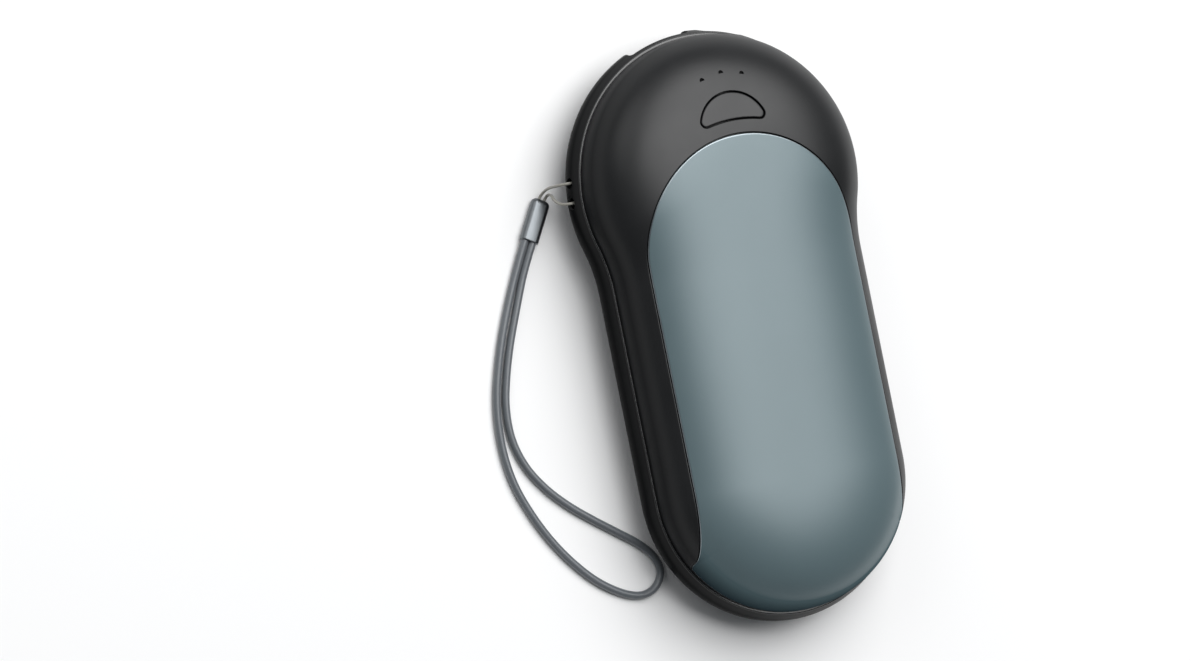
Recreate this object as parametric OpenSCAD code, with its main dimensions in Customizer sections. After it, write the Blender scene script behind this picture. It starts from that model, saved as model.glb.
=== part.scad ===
// Rechargeable hand warmer: two moulded shells, two metal heating plates, a crescent push button,
// the electronics and battery inside, and a wrist cord on a string loop at the side.
// It lies on its back: +Z out of the front face, +Y along the body to the button end.

/* [Body] */
// Length of the body
body_l = 120; // [114:1:128]
// Width across the round lobe at the button end
lobe_w = 61.6; // [60:0.2:64]
// Distance that the straight waist stands in from the lobe on each side
waist_in = 2.8; // [2:0.1:3.4]
// Radius of the hollow fillet between lobe and waist
neck_r = 32; // [28:1:44]
// Height of the parting line above the back
seam_z = 12; // [11.6:0.1:13]
// Height of the front shell above the parting line
front_rise = 14.2; // [13.8:0.1:15]
// Distance from the edge to where the crowned front lies flat
front_run = 26; // [24:0.5:26.4]
// Power of the front's crown, 2 is an ellipse
front_power = 2.7; // [2.5:0.1:2.9]
// Distance from the edge to where the back turns flat
back_run = 14; // [13:0.5:16]
// Height of the back's rounded edge
back_rise = 8.3; // [7.6:0.1:8.4]
// Power of the back's rounded edge
back_power = 2; // [2:0.1:2.4]
// Step by which the back shell stands out at the parting line
lip = 1.5; // [1.2:0.1:1.8]
// Distance by which the back shell's rim leans inwards
lip_draft = 1; // [0.8:0.1:1.1]
// Width of the broken edge on top of that rim
lip_edge = 0.25; // [0.2:0.05:0.3]
// Wall of both shells
wall = 2; // [1.8:0.1:2.2]

/* [Heating plates] */
// Distance from the waist's side to the edge of both plates
plate_in = 5.3; // [5:0.1:6]
// Distance from the button end of the body to the top of the plates' round upper end
plate_end = 22.9; // [22.5:0.1:23.5]
// Sheet thickness of the plates
plate_t = 0.8; // [0.6:0.1:0.9]
// Width of the ledge under the plates' edges
ledge_w = 5; // [4.5:0.1:5.5]
// Thickness of the heater films
heater_t = 0.3; // [0.2:0.1:0.4]
// Distance from the shells' windows to the heater films' sides
heater_in = 9.7; // [9.5:0.1:11]
// Distance that the straight part of the heater films reaches past the plates', at each end
heater_past = 0.8; // [0.4:0.2:1.2]
// Diameter of the temperature sensors
sensor_d = 1.6; // [1.4:0.1:2]
// Length of the temperature sensors
sensor_l = 3; // [2.5:0.5:4]

/* [Button and lights] */
// Radius of the button's upper arc
button_r = 7.3; // [6.8:0.1:7.6]
// Distance from the button end of the body to the centre of the button's upper arc
button_end = 21.8; // [21.4:0.1:22.2]
// Distance from the plate's edge to the button's lower arc
button_gap_y = 2.9; // [2.6:0.1:3.3]
// Radius of the button's horn corners
button_corner_r = 1; // [0.6:0.1:1.2]
// Travel of the button
button_travel = 0.35; // [0.25:0.05:0.5]
// Distance of the light pins from the button's centre
light_r = 11.5; // [11:0.1:12]
// Angle between the light pins
light_step = 22.5; // [20:0.5:25]
// Diameter of the light holes
light_d = 0.9; // [0.8:0.1:1.2]

/* [Electronics] */
// Height of the circuit board's underside above the back
board_z = 10.6; // [10.4:0.1:10.9]
// Thickness of the circuit board
board_t = 1.2; // [0.8:0.1:1.4]
// Width of the large socket
usb_a_w = 13.1; // [12.8:0.1:13.3]
// Height of the large socket
usb_a_h = 5.7; // [5.5:0.1:5.9]
// Length of the large socket
usb_a_l = 13; // [12:0.5:14]
// Place of the large socket across the body
usb_a_x = -5.8; // [-6:0.1:-5.6]
// Width of the small socket
usb_c_w = 9; // [8.8:0.1:9.2]
// Height of the small socket
usb_c_h = 3.3; // [3.2:0.1:3.4]
// Length of the small socket
usb_c_l = 7.3; // [7:0.1:8]
// Place of the small socket across the body
usb_c_x = 7.9; // [7.7:0.1:8.2]
// Sheet thickness of both sockets
socket_t = 0.3; // [0.25:0.05:0.35]
// Distance from the waist's side to the battery cell's side
cell_in = 7; // [6.5:0.1:8]
// Gap from the lower screw bosses to the battery's tray
cell_lower_gap = 1.6; // [1:0.1:3]
// Gap from the upper screw bosses to the battery's protection board
cell_upper_gap = 0.6; // [0.5:0.1:2]
// Thickness of the battery cell
cell_t = 12; // [11:0.2:12.4]
// Diameter of the leads
lead_d = 1.2; // [1:0.1:1.4]

/* [Wrist cord] */
// Diameter of the wrist cord
cord_d = 1.6; // [1.4:0.1:1.6]
// Diameter of the string
string_d = 0.6; // [0.5:0.1:0.8]
// Diameter of the two string holes in the side wall
string_hole_d = 2.2; // [1.8:0.1:2.4]
// Length of the cord crimp
crimp_l = 9; // [8.5:0.1:9.5]
// Thickness of the cord crimp
crimp_h = 2.4; // [2.4:0.1:2.6]
// Width of the cord crimp at its cord end
crimp_w = 4; // [3.9:0.1:4.2]

/* [Hidden] */
$fn = 48;

over = 1;
fit_gap = 0.1;
slide_gap = 0.25;

// Outline of the body: lobe circle, hollow neck arc, straight waist and toe circle
lobe_r = lobe_w / 2;
waist_r = lobe_r - waist_in;
lobe_y = body_l / 2 - lobe_r;
toe_y = waist_r - body_l / 2;
neck_x = waist_r + neck_r;
neck_a = acos(neck_x / (lobe_r + neck_r));
neck_y = lobe_y - (lobe_r + neck_r) * sin(neck_a);
plate_r = waist_r - plate_in;
plate_arc_y = body_l / 2 - plate_end - plate_r;
window_r = plate_r - ledge_w;
top_z = seam_z + front_rise;
front_in_z = top_z - wall;

// Counts of stations round half the outline, and of rows across a section
lobe_n = 13;
neck_n = 3;
side_n = 5;
toe_n = 11;
skin_rows = 7;
lip_rows = 3;
inner_rows = 5;
floor_rows = 2;

// Turn at which a section lies flat, and how many degrees each flat millimetre counts as
flat_at = 90;
flat_turn = 4;
// Where the front plate's edge meets the parting line at the toe, in degrees of the section's turn
toe_edge_turn = 0.5;
edge_step = 0.5;
// Gap between a plate's edge and its recess, in degrees of the section's turn
edge_gap = 0.2;

// Tongue of the front shell inside the back shell's rim
tongue_h = 1.2;
tongue_t = 0.9;
groove_z = seam_z - tongue_h - fit_gap;
rim_in = lip + wall;

// Stations from the top down the right side: x, y, and the outward direction
function right_stations() = concat(
    [for (i = [0 : lobe_n - 1]) let (a = 90 - (90 + neck_a) * i / lobe_n)
        [lobe_r * cos(a), lobe_y + lobe_r * sin(a), cos(a), sin(a)]],
    [for (i = [0 : neck_n - 1]) let (a = 180 - neck_a + neck_a * i / neck_n)
        [neck_x + neck_r * cos(a), neck_y + neck_r * sin(a), -cos(a), -sin(a)]],
    [for (i = [0 : side_n - 1]) [waist_r, neck_y + (toe_y - neck_y) * i / side_n, 1, 0]],
    [for (i = [0 : toe_n]) let (a = -90 * i / toe_n)
        [i == toe_n ? 0 : waist_r * cos(a), toe_y + waist_r * sin(a), i == toe_n ? 0 : cos(a), sin(a)]]
);
half_n = lobe_n + neck_n + side_n + toe_n;
ring_n = 2 * half_n;
right_side = right_stations();
stations = [for (i = [0 : ring_n - 1]) i <= half_n ? right_side[i] :
    let (p = right_side[ring_n - i]) [-p[0], p[1], -p[2], p[3]]];
toe_start = lobe_n + neck_n + side_n;
function is_toe(i) = min(i, ring_n - i) > toe_start;

// Point of a station at a distance inwards from the outline and at a height
function place(i, inset, z) =
    [stations[i][0] - stations[i][2] * inset, stations[i][1] - stations[i][3] * inset, z];

// Distance inwards from the outline to the edge of a round-ended panel of half width r
function arc_cross(i, r) =
    let (x = stations[i][0], y = stations[i][1] - plate_arc_y,
        along = x * stations[i][2] + y * stations[i][3])
    along - sqrt(max(0, along * along - x * x - y * y + r * r));
function side_cross(i, r) = (abs(stations[i][0]) - r) / max(abs(stations[i][2]), 0.001);
function panel_cross(i, r) =
    is_toe(i) ? waist_r - r :
    stations[i][1] - stations[i][3] * side_cross(i, r) <= plate_arc_y && i != 0 ? side_cross(i, r) :
    arc_cross(i, r);
function open_toe_cross(i, r) = is_toe(i) ? side_cross(i, r) : panel_cross(i, r);

// Rounded edge of a shell: a turn of 0 is the upright edge
function inset_of(turn, run, power) =
    turn < flat_at ? run * (1 - pow(cos(turn), 2 / power)) : run + (turn - flat_at) / flat_turn;
function turn_of(inset, run, power) =
    inset <= 0 ? 0 : inset < run ? acos(pow(1 - inset / run, power / 2)) :
    flat_at + (inset - run) * flat_turn;
function rise_of(turn, rise, power) = turn < flat_at ? rise * pow(sin(turn), 2 / power) : rise;
// Point of the edge under a depth of material, as distance inwards and height
function skin(turn, depth, run, rise, power) =
    let (inset = inset_of(turn, run, power), z = rise_of(turn, rise, power),
        a = turn < flat_at ? pow(1 - inset / run, power - 1) / run : 0,
        b = turn < flat_at ? pow(z / rise, power - 1) / rise : 1,
        size = norm([a, b]))
    [inset + depth * a / size, z - depth * b / size];
function front_skin(turn, depth) = let (p = skin(turn, depth, front_run, front_rise, front_power))
    [p[0] + lip, seam_z + p[1]];
function back_skin(turn, depth) = let (p = skin(turn, depth, back_run, back_rise, back_power))
    [p[0], back_rise - p[1]];
function front_turn(inset) = turn_of(inset - lip, front_run, front_power);
function back_turn(inset) = turn_of(inset, back_run, back_power);
function front_edge_turn(i) = max(toe_edge_turn, front_turn(open_toe_cross(i, plate_r)));
function back_edge_turn(i) = back_turn(panel_cross(i, plate_r));
// Turn that lies past another by the gap round the plates, measured along the skin
function past_edge(turn, near, far) = turn + edge_step * edge_gap / norm(far - near);
function front_past(turn) = past_edge(turn, front_skin(turn, 0), front_skin(turn + edge_step, 0));
function back_past(turn) = past_edge(turn, back_skin(turn, 0), back_skin(turn + edge_step, 0));
// Height of the front over a place in the lobe
function dome(x, y) = front_skin(front_turn(lobe_r - norm([x, y - lobe_y])), 0)[1];
seat_depth = plate_t + 1.5 * fit_gap;

// Closed section of the front shell at a station
function front_section(i) =
    let (edge = front_edge_turn(i), window = max(front_turn(panel_cross(i, window_r)), edge + flat_turn))
    concat(
        [for (k = [0 : skin_rows]) front_skin(edge * k / skin_rows, 0)],
        [for (k = [0 : floor_rows]) front_skin(edge + (window - edge) * k / floor_rows, seat_depth)],
        [for (k = [0 : inner_rows]) front_skin(window * (inner_rows - k) / inner_rows, wall)],
        [[rim_in, seam_z - tongue_h], [rim_in - tongue_t, seam_z - tongue_h], [rim_in - tongue_t, seam_z]]
    );
// Closed section of the back shell at a station
function back_section(i) =
    let (edge = back_edge_turn(i), window = back_turn(panel_cross(i, window_r)))
    concat(
        [[rim_in, groove_z], [rim_in - tongue_t - fit_gap, groove_z], [rim_in - tongue_t - fit_gap, seam_z]],
        [[lip_draft + lip_edge, seam_z]],
        [for (k = [lip_rows : -1 : 1]) [lip_draft * pow(k / lip_rows, 2),
            back_rise + (seam_z - lip_edge - back_rise) * k / lip_rows]],
        [for (k = [0 : skin_rows - 2]) back_skin(edge * k / (skin_rows - 2), 0)],
        [for (k = [0 : floor_rows]) back_skin(edge + (window - edge) * k / floor_rows, seat_depth)],
        [for (k = [0 : inner_rows - 1]) back_skin(window * (inner_rows - 1 - k) / (inner_rows - 1), wall)]
    );

// Faces of a grid of rings, each ring a row of equal length
function tri_pair(a, b, c, d) = [[a, b, c], [a, c, d]];
function loop_faces(rings, n) = [for (i = [0 : rings - 1]) for (k = [0 : n - 1])
    let (a = i * n, b = ((i + 1) % rings) * n, j = (k + 1) % n) each tri_pair(a + k, a + j, b + j, b + k)];
function tube_faces(rings, n) = [for (i = [0 : rings - 2]) for (k = [0 : n - 1])
    each tri_pair(i * n + k, (i + 1) * n + k, (i + 1) * n + (k + 1) % n, i * n + (k + 1) % n)];
// Strips across a ring that is the same left and right
function strip_faces(start, n) = [for (i = [0 : n / 2 - 1])
    let (a = start + i, b = start + i + 1, c = start + (n - i - 1) % n, d = start + (n - i) % n)
    each (i == 0 ? [[a, b, c]] : i == n / 2 - 1 ? [[a, b, d]] : tri_pair(a, b, c, d))];
function turned(faces) = [for (f = faces) [f[2], f[1], f[0]]];
function backwards(list) = [for (k = [len(list) - 1 : -1 : 0]) list[k]];

// A shell: its closed section carried round the outline
module shell(sections) {
    n = len(sections[0]);
    polyhedron(
        points = [for (i = [0 : ring_n - 1]) for (p = sections[i]) place(i, p[0], p[1])],
        faces = loop_faces(ring_n, n)
    );
}

// A formed sheet: rings from the flat middle of one face, over the edge, to the middle of the other
module sheet(rings) {
    n = len(rings);
    polyhedron(
        points = [for (r = rings) each r],
        faces = concat(tube_faces(n, ring_n), strip_faces(0, ring_n),
            turned(strip_faces((n - 1) * ring_n, ring_n)))
    );
}

// Panel with two round ends, from the plates' upper arc to the toe
module panel(r, h) {
    translate([0, plate_arc_y, 0]) cylinder(r = r, h = h);
    translate([0, toe_y, 0]) cylinder(r = r, h = h);
    translate([-r, toe_y, 0]) cube([2 * r, plate_arc_y - toe_y, h]);
}

// Case screws and their posts
screw_head_r = 1.9;
screw_head_h = 1.3;
screw_seat_z = 3.7;
screw_r = 1;
screw_reach_z = 14;
post_split_z = 8;
post_r = 1.9;
boss_r = 3.1;
upper_screw_a = 54.3;
upper_screw_ring = plate_r - screw_head_r - slide_gap;
upper_screw_x = upper_screw_ring * cos(upper_screw_a);
upper_screw_y = plate_arc_y + upper_screw_ring * sin(upper_screw_a);
lower_screw_a = 64.6;
lower_screw_ring = plate_r - 2 * screw_head_r - slide_gap;
lower_screw_x = lower_screw_ring * cos(lower_screw_a);
lower_screw_y = toe_y - lower_screw_ring * sin(lower_screw_a);
upper_screw_inset = lobe_r - norm([upper_screw_x, upper_screw_y - lobe_y]);
lower_screw_inset = waist_r - lower_screw_ring;
case_screw_places = [
    [upper_screw_x, upper_screw_y, upper_screw_inset], [-upper_screw_x, upper_screw_y, upper_screw_inset],
    [lower_screw_x, lower_screw_y, lower_screw_inset], [-lower_screw_x, lower_screw_y, lower_screw_inset]
];

// Circuit board and what carries it
board_top = board_z + board_t;
board_r = lobe_r - rim_in - 1.5 * fit_gap - tongue_t;
board_lower_y = upper_screw_y + boss_r + 6 * fit_gap;
board_end_gap = 1.2;
board_upper_y = lobe_y + lobe_r - rim_in - board_end_gap;
board_post_r = 2.2;
board_screw_r = 0.8;
board_screw_head_r = 1.5;
board_screw_head_h = 0.9;
board_screw_l = 5;
board_screw_in = 4.1;
board_screw_ring = board_r - board_screw_in;
board_screw_a = 35.7;
board_screw_x = board_screw_ring * cos(board_screw_a);
board_screw_y = lobe_y + board_screw_ring * sin(board_screw_a);
socket_in = 0.6;
socket_corner_r = 0.6;
socket_face_y = lobe_y + lobe_r - rim_in - socket_in;

// Button and switch
button_y = body_l / 2 - button_end;
flange_w = 0.8;
flange_t = 0.8;
flange_z = dome(0, button_y + button_r + flange_w) - wall - flange_t - 2 * fit_gap;
stem_r = 1.6;
switch_w = 5;
switch_h = 3.4;
plunger_r = 1;
plunger_h = 0.9;
stem_y = plate_arc_y + plate_r + button_gap_y + 2 * button_corner_r;
button_drop = 0.1;
button_half = 3;
button_tilt = atan((dome(0, stem_y - button_half) - dome(0, stem_y + button_half)) / (2 * button_half));
button_top_z = dome(0, stem_y) - button_drop;
plunger_top_z = board_top + switch_h + plunger_h;

// Lights: positions on an arc above the button
light_places = [for (k = [-1 : 1]) [light_r * sin(k * light_step), button_y + light_r * cos(k * light_step)]];
led_h = 0.7;
led_w = 1.6;
pipe_z = board_top + led_h + 2 * fit_gap;
pipe_h = 1.6;
pipe_r = 1;
pipe_drop = 4;
pin_drop = 0.35;
pipe_foot_x = light_places[2][0] + 2 * pipe_r;
pin_r = light_d / 2 - 0.5 * fit_gap;

// Battery and its tray
tray_t = 1;
guard_l = 2.4;
tray_z = 4.4;
tray_wall_h = 5;
cell_z = tray_z + tray_t + fit_gap;
cell_w = 2 * (waist_r - cell_in);
cell_y0 = lower_screw_y + boss_r + cell_lower_gap + tray_t + fit_gap;
cell_y1 = upper_screw_y - boss_r - cell_upper_gap - guard_l;
cell_l = cell_y1 - cell_y0;
cell_top = cell_z + cell_t;
cell_corner_r = 4;
guard_w = 24;
guard_t = 1;
foot_r = 1.6;
foot_x = plate_r - ledge_w / 2 - fit_gap;
foot_y_in = 7;
pad_in = 4.7;
pad_r = window_r - pad_in;

// String holes in the left wall, a bridge apart
string_up = 2.75;
string_y = lobe_y + string_up;
string_gap = 4;
string_drop = 3;
string_z = seam_z - string_drop;

module case_screw_holes(r, z0, z1) {
    for (p = case_screw_places) translate([p[0], p[1], z0]) cylinder(r = r, h = z1 - z0);
}

module crescent(grow) {
    offset(r = button_corner_r + grow) offset(delta = -button_corner_r) difference() {
        translate([0, button_y]) circle(r = button_r);
        translate([0, plate_arc_y]) circle(r = plate_r + button_gap_y);
    }
}

// Heights where a front post ends and a back boss starts, both inside the ledge under the plate
function post_top(inset) = front_skin(front_turn(inset - post_r - seat_depth / 2), seat_depth)[1] - fit_gap;
function boss_foot(inset) = back_skin(back_turn(inset - boss_r), seat_depth)[1] + fit_gap;
// Height of the tray's feet on the back shell
foot_z = back_skin(back_turn(waist_r - foot_x - foot_r), wall)[1] + 1.5 * fit_gap;

module front_shell() color("#26272a") {
    difference() {
        union() {
            shell([for (i = [0 : ring_n - 1]) backwards(front_section(i))]);
            for (p = case_screw_places) translate([p[0], p[1], post_split_z + fit_gap])
                cylinder(r = post_r, h = post_top(p[2]) - post_split_z - fit_gap);
        }
        case_screw_holes(screw_r - fit_gap, post_split_z, screw_reach_z + over);
        translate([0, 0, flange_z]) linear_extrude(top_z - flange_z + over) crescent(slide_gap);
        for (p = light_places) translate([p[0], p[1], front_in_z - 2 * wall])
            cylinder(d = light_d, h = 3 * wall + over);
    }
}

module back_shell() color("#242528") {
    difference() {
        union() {
            shell([for (i = [0 : ring_n - 1]) back_section(i)]);
            for (p = case_screw_places) translate([p[0], p[1], boss_foot(p[2])])
                cylinder(r = boss_r, h = post_split_z - boss_foot(p[2]));
            for (s = [-1, 1]) translate([s * board_screw_x, board_screw_y, wall])
                cylinder(r = board_post_r, h = board_z - wall);
        }
        case_screw_holes(screw_r + fit_gap, seat_depth, post_split_z + over);
        case_screw_holes(screw_head_r + fit_gap, -over, screw_seat_z);
        for (s = [-1, 1]) translate([s * board_screw_x, board_screw_y, board_z - board_screw_l])
            cylinder(r = board_screw_r - 0.5 * fit_gap, h = board_screw_l + over);
        socket_hole(usb_a_x, usb_a_w, usb_a_h, socket_corner_r);
        socket_hole(usb_c_x, usb_c_w, usb_c_h, usb_c_h / 2);
        for (s = [-1, 1]) translate([-lobe_r - over, string_y + s * string_gap / 2, string_z])
            rotate([0, 90, 0]) cylinder(d = string_hole_d, h = rim_in + wall + over);
    }
}

// Slot with rounded ends through the top end's wall for a socket that hangs under the board
module socket_hole(x, w, h, r) {
    translate([x, body_l / 2 + over, board_z - h / 2]) rotate([90, 0, 0]) linear_extrude(over + 2 * rim_in)
        slot_shape(w + 2 * slide_gap, h + 2 * slide_gap, r + slide_gap);
}

module slot_shape(w, h, r) {
    square([w - 2 * r, h], center = true);
    square([w, max(h - 2 * r, fit_gap / 10)], center = true);
    for (sx = [-1, 1], sz = [-1, 1]) translate([sx * (w / 2 - r), sz * (h / 2 - r)]) circle(r = r);
}

module front_plate() color("#8a99a0") {
    edge = [for (i = [0 : ring_n - 1]) front_past(front_edge_turn(i))];
    flat = [for (i = [0 : ring_n - 1]) max(flat_at, edge[i] + 2 * flat_turn)];
    sheet(concat(
        [for (k = [skin_rows + 1 : -1 : 0]) [for (i = [0 : ring_n - 1])
            let (turn = edge[i] + (flat[i] - edge[i]) * k / (skin_rows + 1), p = front_skin(turn, 0))
            place(i, p[0], p[1])]],
        [for (k = [0 : inner_rows + 1]) [for (i = [0 : ring_n - 1])
            let (turn = edge[i] + (flat[i] - edge[i]) * k / (inner_rows + 1), p = front_skin(turn, plate_t))
            place(i, p[0], p[1])]]
    ));
}

module back_plate() color("#8a99a0") {
    edge = [for (i = [0 : ring_n - 1]) back_past(back_edge_turn(i))];
    flat = [for (i = [0 : ring_n - 1]) max(flat_at, edge[i] + 2 * flat_turn)];
    sheet(concat(
        [for (k = [0 : floor_rows + 1]) [for (i = [0 : ring_n - 1])
            let (turn = flat[i] + (edge[i] - flat[i]) * k / (floor_rows + 1), p = back_skin(turn, plate_t))
            place(i, p[0], p[1])]],
        [for (k = [0 : floor_rows + 1]) [for (i = [0 : ring_n - 1])
            let (turn = edge[i] + (flat[i] - edge[i]) * k / (floor_rows + 1), p = back_skin(turn, 0))
            place(i, p[0], p[1])]]
    ));
}

// The button's top is tilted to follow the dome
module button() color("#2a2b2e") {
    difference() {
        translate([0, 0, flange_z]) linear_extrude(top_z - flange_z) crescent(0);
        translate([0, stem_y, button_top_z]) rotate([-button_tilt, 0, 0])
            translate([-2 * button_r, -2 * button_r, 0]) cube([4 * button_r, 4 * button_r, wall]);
    }
    translate([0, 0, flange_z]) linear_extrude(flange_t) crescent(flange_w);
    translate([0, stem_y, plunger_top_z + 0.2 * fit_gap])
        cylinder(r = stem_r, h = flange_z - plunger_top_z);
}

module light_pipe() color("#c9ced1") {
    for (p = light_places) translate([p[0], p[1], pipe_z]) {
        cylinder(r = pipe_r, h = front_in_z - pipe_drop - pipe_z);
        cylinder(r = pin_r, h = dome(p[0], p[1]) - pin_drop - pipe_z);
    }
    translate([-pipe_foot_x, light_places[2][1] - pipe_r, pipe_z])
        cube([2 * pipe_foot_x, 2 * pipe_r, pipe_h]);
    for (s = [-1, 1]) translate([s * pipe_foot_x, light_places[2][1], board_top + 0.5 * fit_gap])
        cylinder(r = pipe_r, h = pipe_z + pipe_h - board_top - 0.5 * fit_gap);
}

module circuit_board() color("#1d5c38") {
    translate([0, 0, board_z + 0.5 * fit_gap]) linear_extrude(board_t - 0.5 * fit_gap) difference() {
        intersection() {
            translate([0, lobe_y]) circle(r = board_r);
            translate([-lobe_r, board_lower_y]) square([lobe_w, board_upper_y - board_lower_y]);
        }
        for (s = [-1, 1]) translate([s * board_screw_x, board_screw_y]) circle(r = board_screw_r + fit_gap);
    }
}

module switch_body() color("#3a3c40") {
    difference() {
        translate([-switch_w / 2, stem_y - switch_w / 2, board_top + 0.5 * fit_gap])
            cube([switch_w, switch_w, switch_h - 0.5 * fit_gap]);
        translate([0, stem_y, board_top + switch_h / 2])
            cylinder(r = plunger_r + 0.5 * fit_gap, h = switch_h);
    }
}

module switch_plunger() color("#d8d8d4") {
    translate([0, stem_y, board_top + switch_h - 2 * button_travel])
        cylinder(r = plunger_r, h = plunger_h + 2 * button_travel);
}

module status_leds() color("#e9e6c8") {
    for (p = light_places) translate([p[0] - led_w / 2, p[1] - led_w / 4, board_top + 0.5 * fit_gap])
        cube([led_w, led_w / 2, led_h]);
}

// Pressed metal box of a socket, open at the wall
module socket_box(x, w, h, l, r) {
    translate([x, socket_face_y, board_z - h / 2]) rotate([90, 0, 0]) difference() {
        linear_extrude(l) slot_shape(w, h, r);
        translate([0, 0, -over]) linear_extrude(l + over - socket_t)
            slot_shape(w - 2 * socket_t, h - 2 * socket_t, r - socket_t);
    }
}

module usb_a_shell() color("#b9bcc0") {
    socket_box(usb_a_x, usb_a_w, usb_a_h, usb_a_l, socket_corner_r);
}

// Tongue of a socket: it stands on the box's closed end and stops short of its mouth
tongue_back = 2;
usb_a_tongue_in = 0.75;
usb_a_tongue_h = 1.9;
usb_c_tongue_in = 1;
usb_c_tongue_h = 0.7;
module socket_tongue(x, z, w, h, l) {
    translate([x - w / 2, socket_face_y - l + socket_t + 0.5 * fit_gap, z]) cube([w, l - tongue_back, h]);
}

module usb_a_tongue() color("#e8e8e4") {
    socket_tongue(usb_a_x, board_z - usb_a_h / 2,
        usb_a_w - 2 * socket_t - 2 * usb_a_tongue_in, usb_a_tongue_h, usb_a_l);
}

module usb_c_shell() color("#b9bcc0") {
    socket_box(usb_c_x, usb_c_w, usb_c_h, usb_c_l, usb_c_h / 2);
}

module usb_c_tongue() color("#2b2b2b") {
    socket_tongue(usb_c_x, board_z - usb_c_h / 2 - usb_c_tongue_h / 2,
        usb_c_w - 2 * socket_t - 2 * usb_c_tongue_in, usb_c_tongue_h, usb_c_l);
}

// Parts on the board, midway between the switch and the board screws
part_x = (switch_w / 2 + board_screw_x) / 2;
chip_w = 5;
chip_h = 0.9;
module controller_chip() color("#1b1b1d") {
    translate([part_x, stem_y, board_top + 0.5 * fit_gap])
        linear_extrude(chip_h) square(chip_w, center = true);
}

coil_w = 6;
coil_h = 3;
coil_r = 2.3;
coil_base_h = 1;
module inductor() color("#4a4d52") {
    translate([-part_x, stem_y, board_top + 0.5 * fit_gap]) {
        linear_extrude(coil_base_h) square(coil_w, center = true);
        cylinder(r = coil_r, h = coil_h);
    }
}

plug_w = 6;
plug_l = 3.4;
plug_h = 4;
plug_wall = 0.6;
plug_depth = 1.7;
module battery_connector() color("#e8e4d6") {
    translate([-plug_w / 2, board_lower_y + fit_gap, board_top + 0.5 * fit_gap]) difference() {
        cube([plug_w, plug_l, plug_h]);
        translate([plug_wall, -over, plug_h / 4])
            cube([plug_w - 2 * plug_wall, plug_depth + over, plug_h / 2]);
    }
}

module battery_cell() color("#9aa3a8") {
    translate([0, cell_y0, cell_z]) linear_extrude(cell_t) {
        translate([-cell_w / 2 + cell_corner_r, 0]) square([cell_w - 2 * cell_corner_r, cell_l]);
        translate([-cell_w / 2, cell_corner_r]) square([cell_w, cell_l - 2 * cell_corner_r]);
        for (sx = [-1, 1], y = [cell_corner_r, cell_l - cell_corner_r])
            translate([sx * (cell_w / 2 - cell_corner_r), y]) circle(r = cell_corner_r);
    }
}

module protection_board() color("#1d5c38") {
    translate([-guard_w / 2, cell_y1 + fit_gap, cell_z + cell_t / 2]) cube([guard_w, guard_l, guard_t]);
}

module battery_tray() color("#dcdcd8") {
    outer_w = cell_w + 2 * tray_t + 2 * fit_gap;
    outer_l = cell_l + tray_t + fit_gap;
    difference() {
        translate([-outer_w / 2, cell_y0 - tray_t - fit_gap, tray_z]) linear_extrude(tray_t + tray_wall_h) {
            translate([cell_corner_r, 0]) square([outer_w - 2 * cell_corner_r, outer_l + guard_l + fit_gap]);
            translate([0, cell_corner_r]) square([outer_w, outer_l - cell_corner_r]);
            for (x = [cell_corner_r, outer_w - cell_corner_r])
                translate([x, cell_corner_r]) circle(r = cell_corner_r);
        }
        translate([0, cell_y0, tray_z + tray_t]) linear_extrude(tray_wall_h + over) {
            translate([-cell_w / 2 - fit_gap, cell_corner_r])
                square([cell_w + 2 * fit_gap, cell_l + guard_l + over]);
            translate([-cell_w / 2 + cell_corner_r, -fit_gap]) square([cell_w - 2 * cell_corner_r, cell_l]);
            for (s = [-1, 1]) translate([s * (cell_w / 2 - cell_corner_r), cell_corner_r])
                circle(r = cell_corner_r + fit_gap);
        }
    }
    for (s = [-1, 1], y = [toe_y + foot_y_in, plate_arc_y - foot_y_in])
        translate([s * foot_x, y, foot_z]) cylinder(r = foot_r, h = tray_z - foot_z + tray_t / 2);
}

heater_w = 2 * (window_r - heater_in);
heater_l = plate_arc_y - toe_y + 2 * heater_past + heater_w;
module heater(z) {
    translate([0, (plate_arc_y + toe_y) / 2, z]) linear_extrude(heater_t) {
        for (s = [-1, 1]) translate([0, s * (heater_l - heater_w) / 2]) circle(d = heater_w);
        square([heater_w, heater_l - heater_w], center = true);
    }
}

heater_end_inset = waist_r - heater_w / 2 - heater_past;
front_heater_z = front_skin(front_turn(heater_end_inset), plate_t)[1] - fit_gap - heater_t;
back_heater_z = plate_t + 0.5 * fit_gap;
module front_heater() color("#c58a3a") heater(front_heater_z);
module back_heater() color("#c58a3a") heater(back_heater_z);

sensor_y = (plate_arc_y + toe_y) / 2;
module sensor(z) {
    translate([0, sensor_y - sensor_l / 2, z]) rotate([-90, 0, 0]) cylinder(d = sensor_d, h = sensor_l);
}
module front_thermistor() color("#1f1f22") sensor(front_heater_z - sensor_d / 2 - 0.5 * fit_gap);
module back_thermistor() color("#1f1f22") sensor(back_heater_z + heater_t + sensor_d / 2 + 0.5 * fit_gap);

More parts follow.
